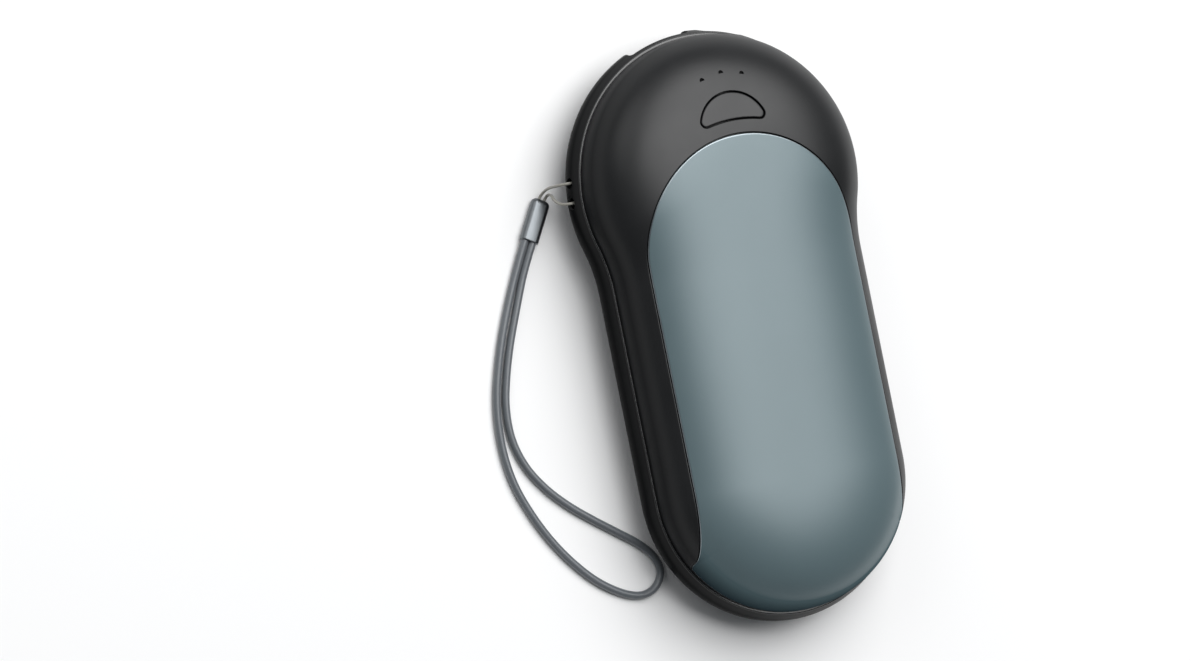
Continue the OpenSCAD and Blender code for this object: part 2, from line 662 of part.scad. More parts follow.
// Foam pads between heaters and battery, with a slot for the sensor and its leads
module foam(z0, z1, slot_z0, slot_z1) {
    difference() {
        translate([0, 0, z0]) linear_extrude(z1 - z0) {
            translate([0, plate_arc_y - ledge_w]) circle(r = pad_r);
            translate([0, toe_y + ledge_w]) circle(r = pad_r);
            translate([-pad_r, toe_y + ledge_w]) square([2 * pad_r, plate_arc_y - toe_y - 2 * ledge_w]);
        }
        translate([-sensor_d / 2 - fit_gap, sensor_y - sensor_l / 2 - fit_gap, slot_z0])
            cube([sensor_d + 2 * fit_gap, pad_r + plate_arc_y - sensor_y + sensor_l + over,
                slot_z1 - slot_z0]);
    }
}
front_pad_top = front_skin(front_turn(waist_r - pad_r), plate_t)[1] - fit_gap;
module front_insulation() color("#d9d2c4") {
    foam(cell_top + fit_gap, front_pad_top, front_heater_z - sensor_d - 2 * fit_gap, front_heater_z + over);
}
module back_insulation() color("#d9d2c4") {
    foam(back_heater_z + heater_t + 0.5 * fit_gap, tray_z - 0.5 * fit_gap,
        back_heater_z, back_heater_z + heater_t + sensor_d + 2 * fit_gap);
}

// Tube swept along a route, with its rings square to the route and upright
function unit(v) = v / norm(v);
function smooth_point(a, b, c, d, t) =
    0.5 * (2 * b + (c - a) * t + (2 * a - 5 * b + 4 * c - d) * t * t + (3 * b - a - 3 * c + d) * t * t * t);
function smooth_route(p, parts) = let (n = len(p)) concat(
    [for (i = [0 : n - 2]) for (k = [0 : parts - 1])
        smooth_point(i == 0 ? 2 * p[0] - p[1] : p[i - 1], p[i], p[i + 1],
            i == n - 2 ? 2 * p[n - 1] - p[n - 2] : p[i + 2], k / parts)],
    [p[n - 1]]);
function side_of(dir) = norm(cross(dir, [0, 0, 1])) > 0.05 ? unit(cross(dir, [0, 0, 1])) : [1, 0, 0];
function frames(p, i = 0, last = undef, done = []) =
    i == len(p) ? done :
    let (dir = unit(p[min(i + 1, len(p) - 1)] - p[max(i - 1, 0)]),
        side = is_undef(last) ? side_of(dir) : unit(last - dir * (last * dir)))
    frames(p, i + 1, side, concat(done, [[side, cross(dir, side)]]));
module tube(p, d, sides = 8) {
    f = frames(p);
    n = len(p);
    polyhedron(
        points = [for (i = [0 : n - 1]) for (k = [0 : sides - 1]) let (a = 360 * k / sides)
            p[i] + d / 2 * (cos(a) * f[i][0] + sin(a) * f[i][1])],
        faces = concat(tube_faces(n, sides), [[for (k = [0 : sides - 1]) k]],
            [[for (k = [sides - 1 : -1 : 0]) (n - 1) * sides + k]])
    );
}

// Leads from the battery and the heaters to the board. Their points are shares of the way across
// and along from start to end, and of an arch that stands over the straight line between them.
function lead_points(from, to, shares) = [for (s = shares) [
    from[0] + (to[0] - from[0]) * s[0],
    from[1] + (to[1] - from[1]) * s[1],
    from[2] + (to[2] - from[2]) * s[1] + lead_arch * s[2]
]];
lead_arch = 2.4;
lead_step = 1.5 * lead_d;
lead_seat = lead_d / 2 + 0.5 * fit_gap;
solder_x = 5.5;
solder_in = 1.5;
solder_y = board_lower_y + solder_in;
battery_lead_x = 2.4;
plug_lead_x = 1.4;
heater_lead_y = plate_arc_y - ledge_w + pad_r + 2 * slide_gap;
battery_lead_start = [battery_lead_x, cell_y1 + guard_l / 2 + fit_gap,
    cell_z + cell_t / 2 + guard_t + lead_d / 2];
battery_lead_end = [plug_lead_x, solder_y, board_top + plug_h / 2 + 0.5 * fit_gap];
front_lead_start = [lead_d, heater_lead_y, front_heater_z - lead_seat];
back_lead_start = [-lead_d, heater_lead_y, back_heater_z + heater_t + lead_seat];
lead_end_z = board_top + fit_gap;
battery_lead_shares = [[0, 0, 0], [0, 0.03, 0.57], [0.2, 0.23, 1],
    [0.6, 0.51, 0.72], [1, 0.73, 0.15], [1, 1, 0]];
front_lead_shares = [[0, 0, 0], [0, 0.21, 1.02], [0.65, 0.49, 0.89],
    [1, 0.78, 0.71], [1, 1, 0.96], [1, 1, 0]];
back_lead_shares = [
    [0, 0, 0], [0, 0.21, -0.86], [0.51, 0.45, -0.73], [1, 0.59, 0.52], [1, 0.69, 1.85], [1, 0.89, 1.5],
    [1, 1, 0.71], [1, 1, 0]
];

module battery_leads() {
    route = smooth_route(lead_points(battery_lead_start, battery_lead_end, battery_lead_shares), 2);
    for (s = [-1, 1]) color(s < 0 ? "#b02020" : "#202020")
        tube([for (p = route) [s * p[0], p[1], p[2]]], lead_d, 6);
}

module front_heater_leads() color("#e6e2da") {
    for (s = [0, 1]) translate([s * lead_step, 0, 0])
        tube(smooth_route(lead_points(front_lead_start, [solder_x, solder_y, lead_end_z],
            front_lead_shares), 2), lead_d, 6);
}

module back_heater_leads() color("#e6e2da") {
    for (s = [0, 1]) translate([-s * lead_step, 0, 0])
        tube(smooth_route(lead_points(back_lead_start, [-solder_x, solder_y, lead_end_z],
            back_lead_shares), 2), lead_d, 6);
}

module case_screws() color("#8d9094") {
    for (p = case_screw_places) translate([p[0], p[1], 0]) {
        translate([0, 0, screw_seat_z - screw_head_h]) cylinder(r = screw_head_r, h = screw_head_h);
        translate([0, 0, screw_seat_z])
            cylinder(r = screw_r - 1.5 * fit_gap, h = screw_reach_z - screw_seat_z);
    }
}

module board_screws() color("#8d9094") {
    for (s = [-1, 1]) translate([s * board_screw_x, board_screw_y, board_top + 0.2 * fit_gap]) {
        cylinder(r = board_screw_head_r, h = board_screw_head_h);
        translate([0, 0, -board_t - board_screw_l + over])
            cylinder(r = board_screw_r - fit_gap, h = board_screw_l + board_t);
    }
}

// The cord's and string's routes are given for a string bridge that stands at this place
route_wall = [-30.8, 31.95];
cord_shift = [-lobe_r - route_wall[0], string_y - route_wall[1], 0];

// Route of the string loop: out of the crimp, through the wall, round the bridge and back
string_route = [
    [-35.8, 29.3, 1.2], [-35, 30.6, 1.2], [-34.3, 31.9, 1.2], [-33.7, 32.9, 1.5], [-33.2, 33.6, 2.6],
    [-33, 33.9, 4], [-32.9, 34, 5.4], [-32.7, 34, 6.9], [-32.2, 34, 8.2], [-31.2, 34, 8.9],
    [-29.8, 34, 9], [-28, 34, 9], [-26.6, 33.4, 9], [-26, 32, 9], [-26.6, 30.6, 9], [-28, 30, 9],
    [-29.8, 30, 9], [-31.3, 30, 8.9], [-32.4, 30.2, 8.2], [-32.9, 30.8, 7], [-32.9, 31.6, 5.7],
    [-32.6, 32.3, 4.4], [-32.4, 32.7, 3.1], [-32.6, 32.6, 1.9], [-33.4, 31.4, 1.2], [-34.2, 30.1, 1.2],
    [-34.9, 28.9, 1.2]
];
module lanyard_string() color("#c9c7c0") translate(cord_shift) tube(string_route, string_d);

// Crimp: a flattened sleeve lying on the surface, its upper end taking the string
crimp_top = [-33.6, 32.1];
crimp_turn = -120;
cord_offset = 0.85;
string_offset = 0.5;
crimp_mouth = 1;
module cord_crimp() color("#8f9296") translate(cord_shift) {
    translate([crimp_top[0], crimp_top[1], crimp_h / 2]) rotate([0, 0, crimp_turn]) difference() {
        hull() {
            for (s = [-1, 1]) translate([0, s * (crimp_w - crimp_h) / 2, 0]) {
                translate([crimp_h / 2, 0, 0]) sphere(d = crimp_h, $fn = 16);
                translate([crimp_l - crimp_mouth, 0, 0]) rotate([0, 90, 0])
                    cylinder(d = crimp_h, h = crimp_mouth, $fn = 16);
            }
        }
        for (s = [-1, 1]) {
            translate([crimp_l / 2, s * cord_offset, 0]) rotate([0, 90, 0])
                cylinder(d = cord_d + 2 * fit_gap, h = crimp_l / 2 + over);
            translate([-over, s * string_offset, 0]) rotate([0, 90, 0])
                cylinder(d = string_d + fit_gap, h = crimp_l / 2);
        }
    }
}

// Route of the wrist cord: out of the crimp, round its loop on the surface and back;
// heights are those of the cord's lowest side
cord_route = [
    [-36.7, 28.4, 0.4], [-38.8, 24.8, 0.4], [-40.6, 21.5, 0.2], [-43, 16.8, 0], [-45.4, 11.8, 0],
    [-47.8, 6.2, 0], [-49.8, 0.6, 0], [-51.4, -5.2, 0], [-52.2, -11, 0], [-52.2, -17, 0],
    [-51.2, -23, 0], [-49, -29, 0], [-46, -34.8, 0], [-42.2, -40.2, 0], [-37.8, -44.8, 0],
    [-33, -48, 0], [-29, -49.2, 0], [-25.8, -48.2, 0], [-24, -45.4, 0], [-24.8, -42, 0],
    [-27.6, -38.9, 0], [-32, -35.6, 0], [-36.6, -32.2, 0], [-41, -28.6, 0], [-45, -24.4, 0],
    [-48.2, -19.4, 0], [-49.9, -13.6, 0], [-49.8, -7.4, 0], [-48.4, -1.4, 0], [-46.2, 5, 0],
    [-43.4, 11.6, 0], [-41, 17, 0], [-39.2, 20.6, 0.2], [-37.4, 23.9, 0.4], [-35.3, 27.5, 0.4]
];
module wrist_cord() color("#85888c") translate([0, 0, cord_d / 2] + cord_shift)
    tube([for (p = smooth_route(cord_route, 2)) [p[0], p[1], max(0, p[2])]], cord_d);

front_shell();
back_shell();
front_plate();
back_plate();
button();
light_pipe();
circuit_board();
switch_body();
switch_plunger();
status_leds();
usb_a_shell();
usb_a_tongue();
usb_c_shell();
usb_c_tongue();
controller_chip();
inductor();
battery_connector();
battery_cell();
protection_board();
battery_tray();
front_heater();
back_heater();
front_thermistor();
back_thermistor();
front_insulation();
back_insulation();
battery_leads();
front_heater_leads();
back_heater_leads();
case_screws();
board_screws();
lanyard_string();
cord_crimp();
wrist_cord();
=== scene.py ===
# Rechargeable hand warmer lying on its back, with its wrist cord beside it
import math
import bmesh
import bpy
import numpy as np
from mathutils import Matrix, Vector


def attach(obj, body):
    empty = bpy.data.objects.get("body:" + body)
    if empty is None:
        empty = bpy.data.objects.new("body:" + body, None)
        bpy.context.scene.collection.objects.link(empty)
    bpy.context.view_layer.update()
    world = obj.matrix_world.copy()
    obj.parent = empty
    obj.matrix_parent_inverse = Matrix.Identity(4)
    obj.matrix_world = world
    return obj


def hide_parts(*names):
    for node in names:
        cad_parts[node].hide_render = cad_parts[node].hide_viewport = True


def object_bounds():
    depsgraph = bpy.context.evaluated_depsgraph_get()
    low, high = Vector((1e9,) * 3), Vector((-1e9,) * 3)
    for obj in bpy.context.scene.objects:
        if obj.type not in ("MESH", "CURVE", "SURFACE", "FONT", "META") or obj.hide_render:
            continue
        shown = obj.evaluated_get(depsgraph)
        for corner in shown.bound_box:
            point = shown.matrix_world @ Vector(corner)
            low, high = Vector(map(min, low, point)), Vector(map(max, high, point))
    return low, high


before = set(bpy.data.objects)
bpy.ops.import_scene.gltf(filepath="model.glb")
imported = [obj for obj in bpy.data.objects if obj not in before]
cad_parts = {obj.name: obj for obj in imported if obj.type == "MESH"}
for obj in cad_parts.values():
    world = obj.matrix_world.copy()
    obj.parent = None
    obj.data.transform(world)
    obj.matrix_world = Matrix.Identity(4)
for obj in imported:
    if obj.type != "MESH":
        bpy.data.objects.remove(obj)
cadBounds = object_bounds()
scene = bpy.context.scene
mm = 0.001                         # in metres
print("stage: frame loaded,", len(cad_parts), "nodes")

# Camera: at the photograph's angle, far away and long, so that the body shows as it does there
cameraView = {
    "target": (0, 0, 12),           # middle of the parting line, mm
    "distance": 2000,               # mm
    "back": (-0.411, -0.0189, 0.9115),  # from the target towards the camera
    "up": (0.1725, 0.9801, 0.0981),
    "lens": 302.3, "sensor": 36,    # mm
    "clip": (0.1, 20),              # m
    "shift": (-0.1258, -0.0062),    # the body stands right of the middle of the picture
}


def makeCamera(view):
    back = Vector(view["back"]).normalized()
    right = Vector(view["up"]).cross(back).normalized()
    up = back.cross(right)
    data = bpy.data.cameras.new("camera")
    data.sensor_width = view["sensor"]
    data.lens = view["lens"]
    data.shift_x, data.shift_y = view["shift"]
    data.clip_start, data.clip_end = view["clip"]
    camera = bpy.data.objects.new("camera", data)
    scene.collection.objects.link(camera)
    place = (Vector(view["target"]) + back * view["distance"]) * mm
    camera.matrix_world = Matrix.Translation(place) @ Matrix((right, up, back)).transposed().to_4x4()
    scene.camera = camera


makeCamera(cameraView)
print("stage: camera")


# Colours and materials
def hexColour(text):
    # sRGB hex to the linear values that the shaders take
    values = np.array([int(text[i:i + 2], 16) for i in (1, 3, 5)]) / 255
    linear = np.where(values <= 0.04045, values / 12.92, ((values + 0.055) / 1.055) ** 2.4)
    return (*linear.tolist(), 1.0)


def addNode(tree, kind, settings=None, links=None):
    # adds a node, sets its properties or sockets, and joins its inputs to other nodes' outputs;
    # a colour Mix has its share at input 0, its colours at 6 and 7, and the blend at output 2
    node = tree.nodes.new("ShaderNode" + kind)
    for key, value in (settings or {}).items():
        if isinstance(key, str) and hasattr(node, key) and key not in node.inputs:
            setattr(node, key, value)
        else:
            node.inputs[key].default_value = value
    for key, (source, output) in (links or {}).items():
        tree.links.new(source.outputs[output], node.inputs[key])
    return node


def startMaterial(name):
    # a material, its nodes, and the link that lays a pattern out in the object's own metres
    material = bpy.data.materials.new(name)
    material.use_nodes = True
    tree = material.node_tree
    tree.nodes.clear()
    return material, tree, {"Vector": (addNode(tree, "TexCoord"), "Object")}


def finishMaterial(material, tree, shader):
    addNode(tree, "OutputMaterial", {}, {"Surface": (shader, 0)})
    return material


def perMetre(sizeMm):
    # pattern scale for Object coordinates in metres, from the size of one grain in mm
    return 1 / (sizeMm * mm)


def twoColours(dark, pale):
    # settings of a colour Mix
    return {"data_type": "RGBA", 6: hexColour(dark), 7: hexColour(pale)}


def fromTo(fromLow, fromHigh, low=0, high=1):
    # settings of a MapRange
    return {"From Min": fromLow, "From Max": fromHigh, "To Min": low, "To Max": high}


def roughnessRange(m):
    # over the values that a noise mostly has
    return fromTo(0.3, 0.7, m["roughness"] - m["roughnessSpread"], m["roughness"] + m["roughnessSpread"])


def normalHeight(tree):
    # height of the surface normal, up or down: 0 on an upright wall, 1 where the surface lies flat
    facing = addNode(tree, "SeparateXYZ", {}, {"Vector": (addNode(tree, "TexCoord"), "Normal")})
    return addNode(tree, "Math", {"operation": "ABSOLUTE"}, {0: (facing, "Z")})


softTouchAbs = {
    "colour": "#121314", "paler": "#17181a", "roughness": 0.4, "roughnessSpread": 0.04,
    "grainMm": 0.3, "grainDepth": 0.04, "cloudMm": 14,
    # the gloss fades towards steep walls: that stands in for dark surroundings that the studio lacks
    "steep": 0.25, "flat": 0.8, "edgeGloss": 0.05, "gloss": 0.44,
}
buttonAbs = dict(softTouchAbs, colour="#141516", paler="#19191b", roughness=0.38, grainDepth=0.03)
# the back housing's plastic is drawn darker and less glossy than the front's: painted shade on its upright
# sides, standing in for dark surroundings
shadedBackAbs = dict(softTouchAbs, colour="#0a0b0c", paler="#0e0f10", roughness=0.34, gloss=0.3, edgeGloss=0.02)
# the back housing's plastic where its rim is smooth: a thin bright line beside the seam
polishedAbs = dict(shadedBackAbs, roughness=0.24, roughnessSpread=0.01, gloss=0.8, edgeGloss=0.3)


def makeSoftTouchAbs(name, m):
    # ABS moulding with a rubbery soft-touch lacquer: near black, wide dull gloss, and a fine grain
    # that is drawn at 0.3 mm, so that it shows at all
    material, tree, here = startMaterial(name)
    grain = addNode(tree, "TexNoise", {"Scale": perMetre(m["grainMm"]), "Detail": 3, "Roughness": 0.6}, here)
    cloud = addNode(tree, "TexNoise", {"Scale": perMetre(m["cloudMm"]), "Detail": 4, "Roughness": 0.55}, here)
    tint = addNode(tree, "Mix", twoColours(m["colour"], m["paler"]), {0: (cloud, "Fac")})
    rough = addNode(tree, "MapRange", roughnessRange(m), {"Value": (cloud, "Fac")})
    bump = addNode(tree, "Bump", {"Strength": m["grainDepth"], "Distance": 0.0001},
                   {"Height": (grain, "Fac")})
    gloss = addNode(tree, "MapRange", fromTo(m["steep"], m["flat"], m["edgeGloss"], m["gloss"]),
                    {"Value": (normalHeight(tree), 0)})
    shader = addNode(tree, "BsdfPrincipled", {"IOR": 1.52},
                     {"Base Color": (tint, 2), "Roughness": (rough, "Result"),
                      "Specular IOR Level": (gloss, "Result"), "Normal": (bump, "Normal")})
    return finishMaterial(material, tree, shader)


anodisedAluminium = {
    # the darker rim colour is painted shade on steep faces, and the seal that fades towards them is a painted
    # dimming of their reflections: both stand in for dark surroundings
    "colour": "#55686d", "paler": "#5d7075", "rim": "#27343a", "drawn": 0.5,
    "roughness": 0.42, "roughnessSpread": 0.03, "metalShare": 0.22, "glossShare": 0.5,
    "steep": 0.55, "flat": 0.78, "edgeSeal": 0, "seal": 0.9, "sealRoughness": 0.4,
    "blastMm": 0.18, "blastDepth": 0.06, "cloudMm": 22,
}


def makeAnodisedAluminium(name, m):
    # bead-blasted, blue-grey anodised aluminium sheet: a soft metallic sheen over fine pits, drawn
    # at 0.18 mm
    material, tree, here = startMaterial(name)
    pits = addNode(tree, "TexNoise", {"Scale": perMetre(m["blastMm"]), "Detail": 2, "Roughness": 0.5}, here)
    cloud = addNode(tree, "TexNoise", {"Scale": perMetre(m["cloudMm"]), "Detail": 3, "Roughness": 0.5}, here)
    level = normalHeight(tree)
    flatness = addNode(tree, "MapRange", fromTo(0, m["drawn"]), {"Value": (level, 0)})
    dye = addNode(tree, "Mix", twoColours(m["colour"], m["paler"]), {0: (cloud, "Fac")})
    # painted shade: steep faces take the darker rim colour instead of the dye, up to a normal height of drawn
    tint = addNode(tree, "Mix", {"data_type": "RGBA", 6: hexColour(m["rim"])},
                   {0: (flatness, "Result"), 7: (dye, 2)})
    rough = addNode(tree, "MapRange", roughnessRange(m), {"Value": (pits, "Fac")})
    bump = addNode(tree, "Bump", {"Strength": m["blastDepth"], "Distance": 0.0001}, {"Height": (pits, "Fac")})
    seal = addNode(tree, "MapRange", fromTo(m["steep"], m["flat"], m["edgeSeal"], m["seal"]),
                   {"Value": (level, 0)})
    gloss = addNode(tree, "Math", {"operation": "MULTIPLY", 1: m["glossShare"]}, {0: (seal, "Result")})
    metal = addNode(tree, "Math", {"operation": "MULTIPLY", 1: m["metalShare"]}, {0: (seal, "Result")})
    shader = addNode(tree, "BsdfPrincipled", {"Coat Roughness": m["sealRoughness"]},
                     {"Base Color": (tint, 2), "Metallic": (metal, 0), "Roughness": (rough, "Result"),
                      "Specular IOR Level": (gloss, 0), "Coat Weight": (seal, "Result"),
                      "Normal": (bump, "Normal")})
    return finishMaterial(material, tree, shader)


def makeSolderMask(name):
    # glass-epoxy laminate under green solder mask: weave of 1 mm just showing through; the bands of
    # a wave texture are pi / 10 of the size in its scale, here 3.15 mm
    material, tree, here = startMaterial(name)
    warp, weft = (addNode(tree, "TexWave", {"Scale": perMetre(3.15), "bands_direction": direction},
                          here) for direction in "XY")
    both = addNode(tree, "Math", {"operation": "MULTIPLY"}, {0: (warp, "Fac"), 1: (weft, "Fac")})
    tint = addNode(tree, "Mix", twoColours("#12452b", "#1b5c3a"), {0: (both, 0)})
    shader = addNode(tree, "BsdfPrincipled", {"Roughness": 0.28, "IOR": 1.5}, {"Base Color": (tint, 2)})
    return finishMaterial(material, tree, shader)


def makeHeaterFilm(name):
    # amber polyimide film over an etched foil track, one turn every 4 mm
    material, tree, here = startMaterial(name)
    track = addNode(tree, "TexWave", {"Scale": perMetre(12.6), "bands_direction": "Y", "Distortion": 0.4},
                    here)
    step = addNode(tree, "MapRange", fromTo(0.45, 0.55), {"Value": (track, "Fac")})
    tint = addNode(tree, "Mix", twoColours("#b9772a", "#8d5a2b"), {0: (step, "Result")})
    shader = addNode(tree, "BsdfPrincipled", {"Roughness": 0.25, "IOR": 1.7}, {"Base Color": (tint, 2)})
    return finishMaterial(material, tree, shader)


fineNoise = ("TexNoise", {"Detail": 3}, "Fac")


def makeGrained(name, m):
    # a pattern blends two colours; where there is a bump, it or a finer noise raises the surface
    material, tree, here = startMaterial(name)
    kind, settings, output = m["pattern"]
    if "stretch" in m:
        here = {"Vector": (addNode(tree, "Mapping", {"Scale": m["stretch"]}, here), "Vector")}
    pattern = addNode(tree, kind, dict(settings, Scale=perMetre(m["grainMm"])), here)
    tint = addNode(tree, "Mix", twoColours(m["colour"], m["paler"]), {0: (pattern, output)})
    links = {"Base Color": (tint, 2)}
    if "fineMm" in m:
        pattern = addNode(tree, kind, {"Scale": perMetre(m["fineMm"]), "Detail": 2}, here)
    if "bump" in m:
        bump = addNode(tree, "Bump", {"Strength": m["bump"][0], "Distance": m["bump"][1]},
                       {"Height": (pattern, output)})
        links["Normal"] = (bump, "Normal")
    return finishMaterial(material, tree, addNode(tree, "BsdfPrincipled", m["shader"], links))


def makeMouldedPlastic(name, colour, paler, roughness, ior=1.5, fineMm=0.25, fineDepth=0.05):
    # injection-moulded engineering plastic: even colour, faint flow clouds, spark-eroded grain
    return makeGrained(name, {
        "pattern": fineNoise, "grainMm": 6, "fineMm": fineMm,
        "colour": colour, "paler": paler, "bump": (fineDepth, 0.0001),
        "shader": {"IOR": ior, "Roughness": roughness}})


def makeRolledMetal(name, colour, paler, roughness):
    # plated or rolled sheet metal: fine drawing lines along one direction
    return makeGrained(name, {
        "pattern": fineNoise, "grainMm": 0.12, "stretch": (1, 1 / 30, 1),
        "colour": colour, "paler": paler, "bump": (0.08, 0.0001),
        "shader": {"Metallic": 1.0, "Roughness": roughness}})


# smoke-tinted clear polycarbonate: dark until a light is on behind it
smokedPolycarbonate = {
    "pattern": ("TexNoise", {"Detail": 2}, "Fac"), "grainMm": 0.5, "colour": "#030304", "paler": "#060607",
    "shader": {"IOR": 1.58, "Roughness": 0.4, "Specular IOR Level": 0.03},
}
# aluminium-laminate pouch: dull embossed foil, creased a little
pouchFoil = {
    "pattern": ("TexVoronoi", {"feature": "SMOOTH_F1"}, "Distance"), "grainMm": 5,
    "colour": "#9aa1a6", "paler": "#aab1b5", "bump": (0.15, 0.0002),
    "shader": {"Metallic": 0.8, "Roughness": 0.38},
}
# needled glass-fibre felt: pale, no gloss, fibres of 0.3 mm
glassFelt = {
    "pattern": ("TexNoise", {"Detail": 6, "Roughness": 0.7}, "Fac"), "grainMm": 0.3,
    "colour": "#cfc8ba", "paler": "#e4dfd4", "bump": (0.6, 0.0003), "shader": {"Roughness": 0.9},
}
# tightly braided polyester: flecks of 0.12 mm and a little sheen
braidedPolyester = {
    "pattern": fineNoise, "grainMm": 0.12,
    "colour": "#4f5357", "paler": "#6f7479", "bump": (0.25, 0.00005),
    "shader": {"Roughness": 0.3, "IOR": 1.54, "Sheen Weight": 0.15},
}
# nylon string: paler, and duller than the cord
twistedNylon = dict(braidedPolyester, colour="#7f7d77", paler="#9a988f",
                    shader=dict(braidedPolyester["shader"], Roughness=0.4))

materials = {
    "shell": makeSoftTouchAbs("softTouchAbs", softTouchAbs),
    "button": makeSoftTouchAbs("buttonAbs", buttonAbs),
    "back": makeSoftTouchAbs("shadedBackAbs", shadedBackAbs),
    "polished": makeSoftTouchAbs("polishedAbs", polishedAbs),
    "plate": makeAnodisedAluminium("anodisedAluminium", anodisedAluminium),
    "smoke": makeGrained("smokedPolycarbonate", smokedPolycarbonate),
    "board": makeSolderMask("solderMask"),
    "blackNylon": makeMouldedPlastic("blackNylon", "#17181a", "#1f2022", 0.5),
    "whiteNylon": makeMouldedPlastic("whiteNylon", "#d6d5cf", "#e2e1dc", 0.45),
    "epoxy": makeMouldedPlastic("mouldedEpoxy", "#141416", "#1b1b1e", 0.6),
    "ferrite": makeMouldedPlastic("sinteredFerrite", "#3c3e42", "#4a4d51", 0.55, 1.8, 0.2, 0.15),
    "lamp": makeMouldedPlastic("ledSilicone", "#d9d2a0", "#efe9c4", 0.3, 1.45),
    # a cut edge left bright: a thin pale line round the plates
    "cutEdge": makeRolledMetal("brightCutAluminium", "#828a8e", "#939b9f", 0.34),
    "nickel": makeRolledMetal("nickelPlatedSteel", "#b9bbbd", "#c9cbcd", 0.28),
    "gold": makeRolledMetal("goldPlatedContact", "#d9b25f", "#e6c377", 0.22),
    "foil": makeGrained("pouchFoil", pouchFoil),
    "film": makeHeaterFilm("polyimideFilm"),
    "felt": makeGrained("glassFelt", glassFelt),
    "silicone": makeMouldedPlastic("siliconeRubber", "#cfccc4", "#dcd9d2", 0.5, 1.43),
    "cord": makeGrained("braidedPolyester", braidedPolyester),
    "string": makeGrained("twistedNylon", twistedNylon),
    "crimp": makeRolledMetal("satinZinc", "#6a6e71", "#7c8083", 0.36),
}


def coat(mesh, look):
    # makes a material the mesh's only one
    mesh.materials.clear()
    mesh.materials.append(materials[look])


def dress(look, *nodeNames):
    # gives CAD nodes their material
    for nodeName in nodeNames:
        coat(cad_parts[nodeName].data, look)


dress("smoke", "light_pipe")
dress("board", "circuit_board", "protection_board")
dress("blackNylon", "usb_c_tongue", "switch_body")
dress("whiteNylon", "usb_a_tongue", "switch_plunger", "battery_connector", "battery_tray")
dress("epoxy", "controller_chip", "front_thermistor", "back_thermistor")
dress("ferrite", "inductor")
dress("lamp", "status_leds")
dress("nickel", "usb_a_shell", "usb_c_shell", "case_screws", "board_screws")
dress("foil", "battery_cell")
dress("film", "front_heater", "back_heater")
dress("felt", "front_insulation", "back_insulation")
dress("silicone", "battery_leads", "front_heater_leads", "back_heater_leads")
print("stage: materials")


# Meshes from arrays
def linkMesh(name, points, faces):
    # points in millimetres
    mesh = bpy.data.meshes.new(name)
    mesh.from_pydata((np.asarray(points) * mm).tolist(), [], faces)
    mesh.update()
    piece = bpy.data.objects.new(name, mesh)
    scene.collection.objects.link(piece)
    return piece


def gridFaces(rows, columns, closedRows, closedColumns):
    # quads of a grid of points that is numbered row by row
    i, k = np.meshgrid(np.arange(rows if closedRows else rows - 1),
                       np.arange(columns if closedColumns else columns - 1), indexing="ij")
    i2, k2 = (i + 1) % rows, (k + 1) % columns
    quads = [i * columns + k, i * columns + k2, i2 * columns + k2, i2 * columns + k]
    return np.stack(quads, -1).reshape(-1, 4).tolist()


def loftPiece(name, loops):
    # closed solid through loops of equally many points, with a flat face on both ends
    loops = np.asarray(loops)
    count, sides = loops.shape[:2]
    caps = [list(range(sides))[::-1], list(range((count - 1) * sides, count * sides))]
    return linkMesh(name, loops.reshape(-1, 3), gridFaces(count, sides, False, True) + caps)


def editMesh(piece, edit):
    # lets a function change a piece's mesh
    work = bmesh.new()
    work.from_mesh(piece.data)
    edit(work)
    work.to_mesh(piece.data)
    work.free()


def turnOutwards(piece):
    # joins points at one place, and turns all faces outward
    def edit(work):
        bmesh.ops.remove_doubles(work, verts=work.verts, dist=1e-8)
        bmesh.ops.recalc_face_normals(work, faces=work.faces)
    editMesh(piece, edit)


def joinPieces(target, others):
    # puts other pieces' meshes into one piece
    for other in others:
        editMesh(target, lambda work: work.from_mesh(other.data))
        bpy.data.objects.remove(other)


def clearSlivers(piece):
    # closes up the faces without area that a cut can leave
    editMesh(piece, lambda work: bmesh.ops.dissolve_degenerate(work, dist=1e-6, edges=work.edges))


def cutPiece(piece, cutters):
    # takes the cutters' shapes out of a piece, and removes the cutters
    for cutter in cutters:
        turnOutwards(cutter)
        modifier = piece.modifiers.new("cut", "BOOLEAN")
        modifier.operation = "DIFFERENCE"
        modifier.solver = "EXACT"
        modifier.object = cutter
    graph = bpy.context.evaluated_depsgraph_get()
    mesh = bpy.data.meshes.new_from_object(piece.evaluated_get(graph))
    piece.modifiers.clear()
    piece.data = mesh
    clearSlivers(piece)
    for cutter in cutters:
        bpy.data.objects.remove(cutter)


def finishPiece(piece, look, body, node=None, sharpAngle=32):
    # shades a piece smooth but for edges steeper than sharpAngle, and gives it its material and place
    mesh = piece.data
    coat(mesh, look)
    mesh.polygons.foreach_set("material_index", np.zeros(len(mesh.polygons), dtype=np.int32))
    mesh.polygons.foreach_set("use_smooth", np.ones(len(mesh.polygons), dtype=bool))
    mesh.set_sharp_from_angle(angle=math.radians(sharpAngle))
    mesh.update()
    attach(piece, body)
    if node:
        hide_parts(node)


def giveSecond(piece, look, chosen):
    # gives the chosen faces of a piece another material
    piece.data.materials.append(materials[look])
    piece.data.polygons.foreach_set("material_index", chosen.astype(np.int32))


def faceCentres(piece):
    # in millimetres
    centres = np.zeros(len(piece.data.polygons) * 3)
    piece.data.polygons.foreach_get("center", centres)
    return centres.reshape(-1, 3) / mm


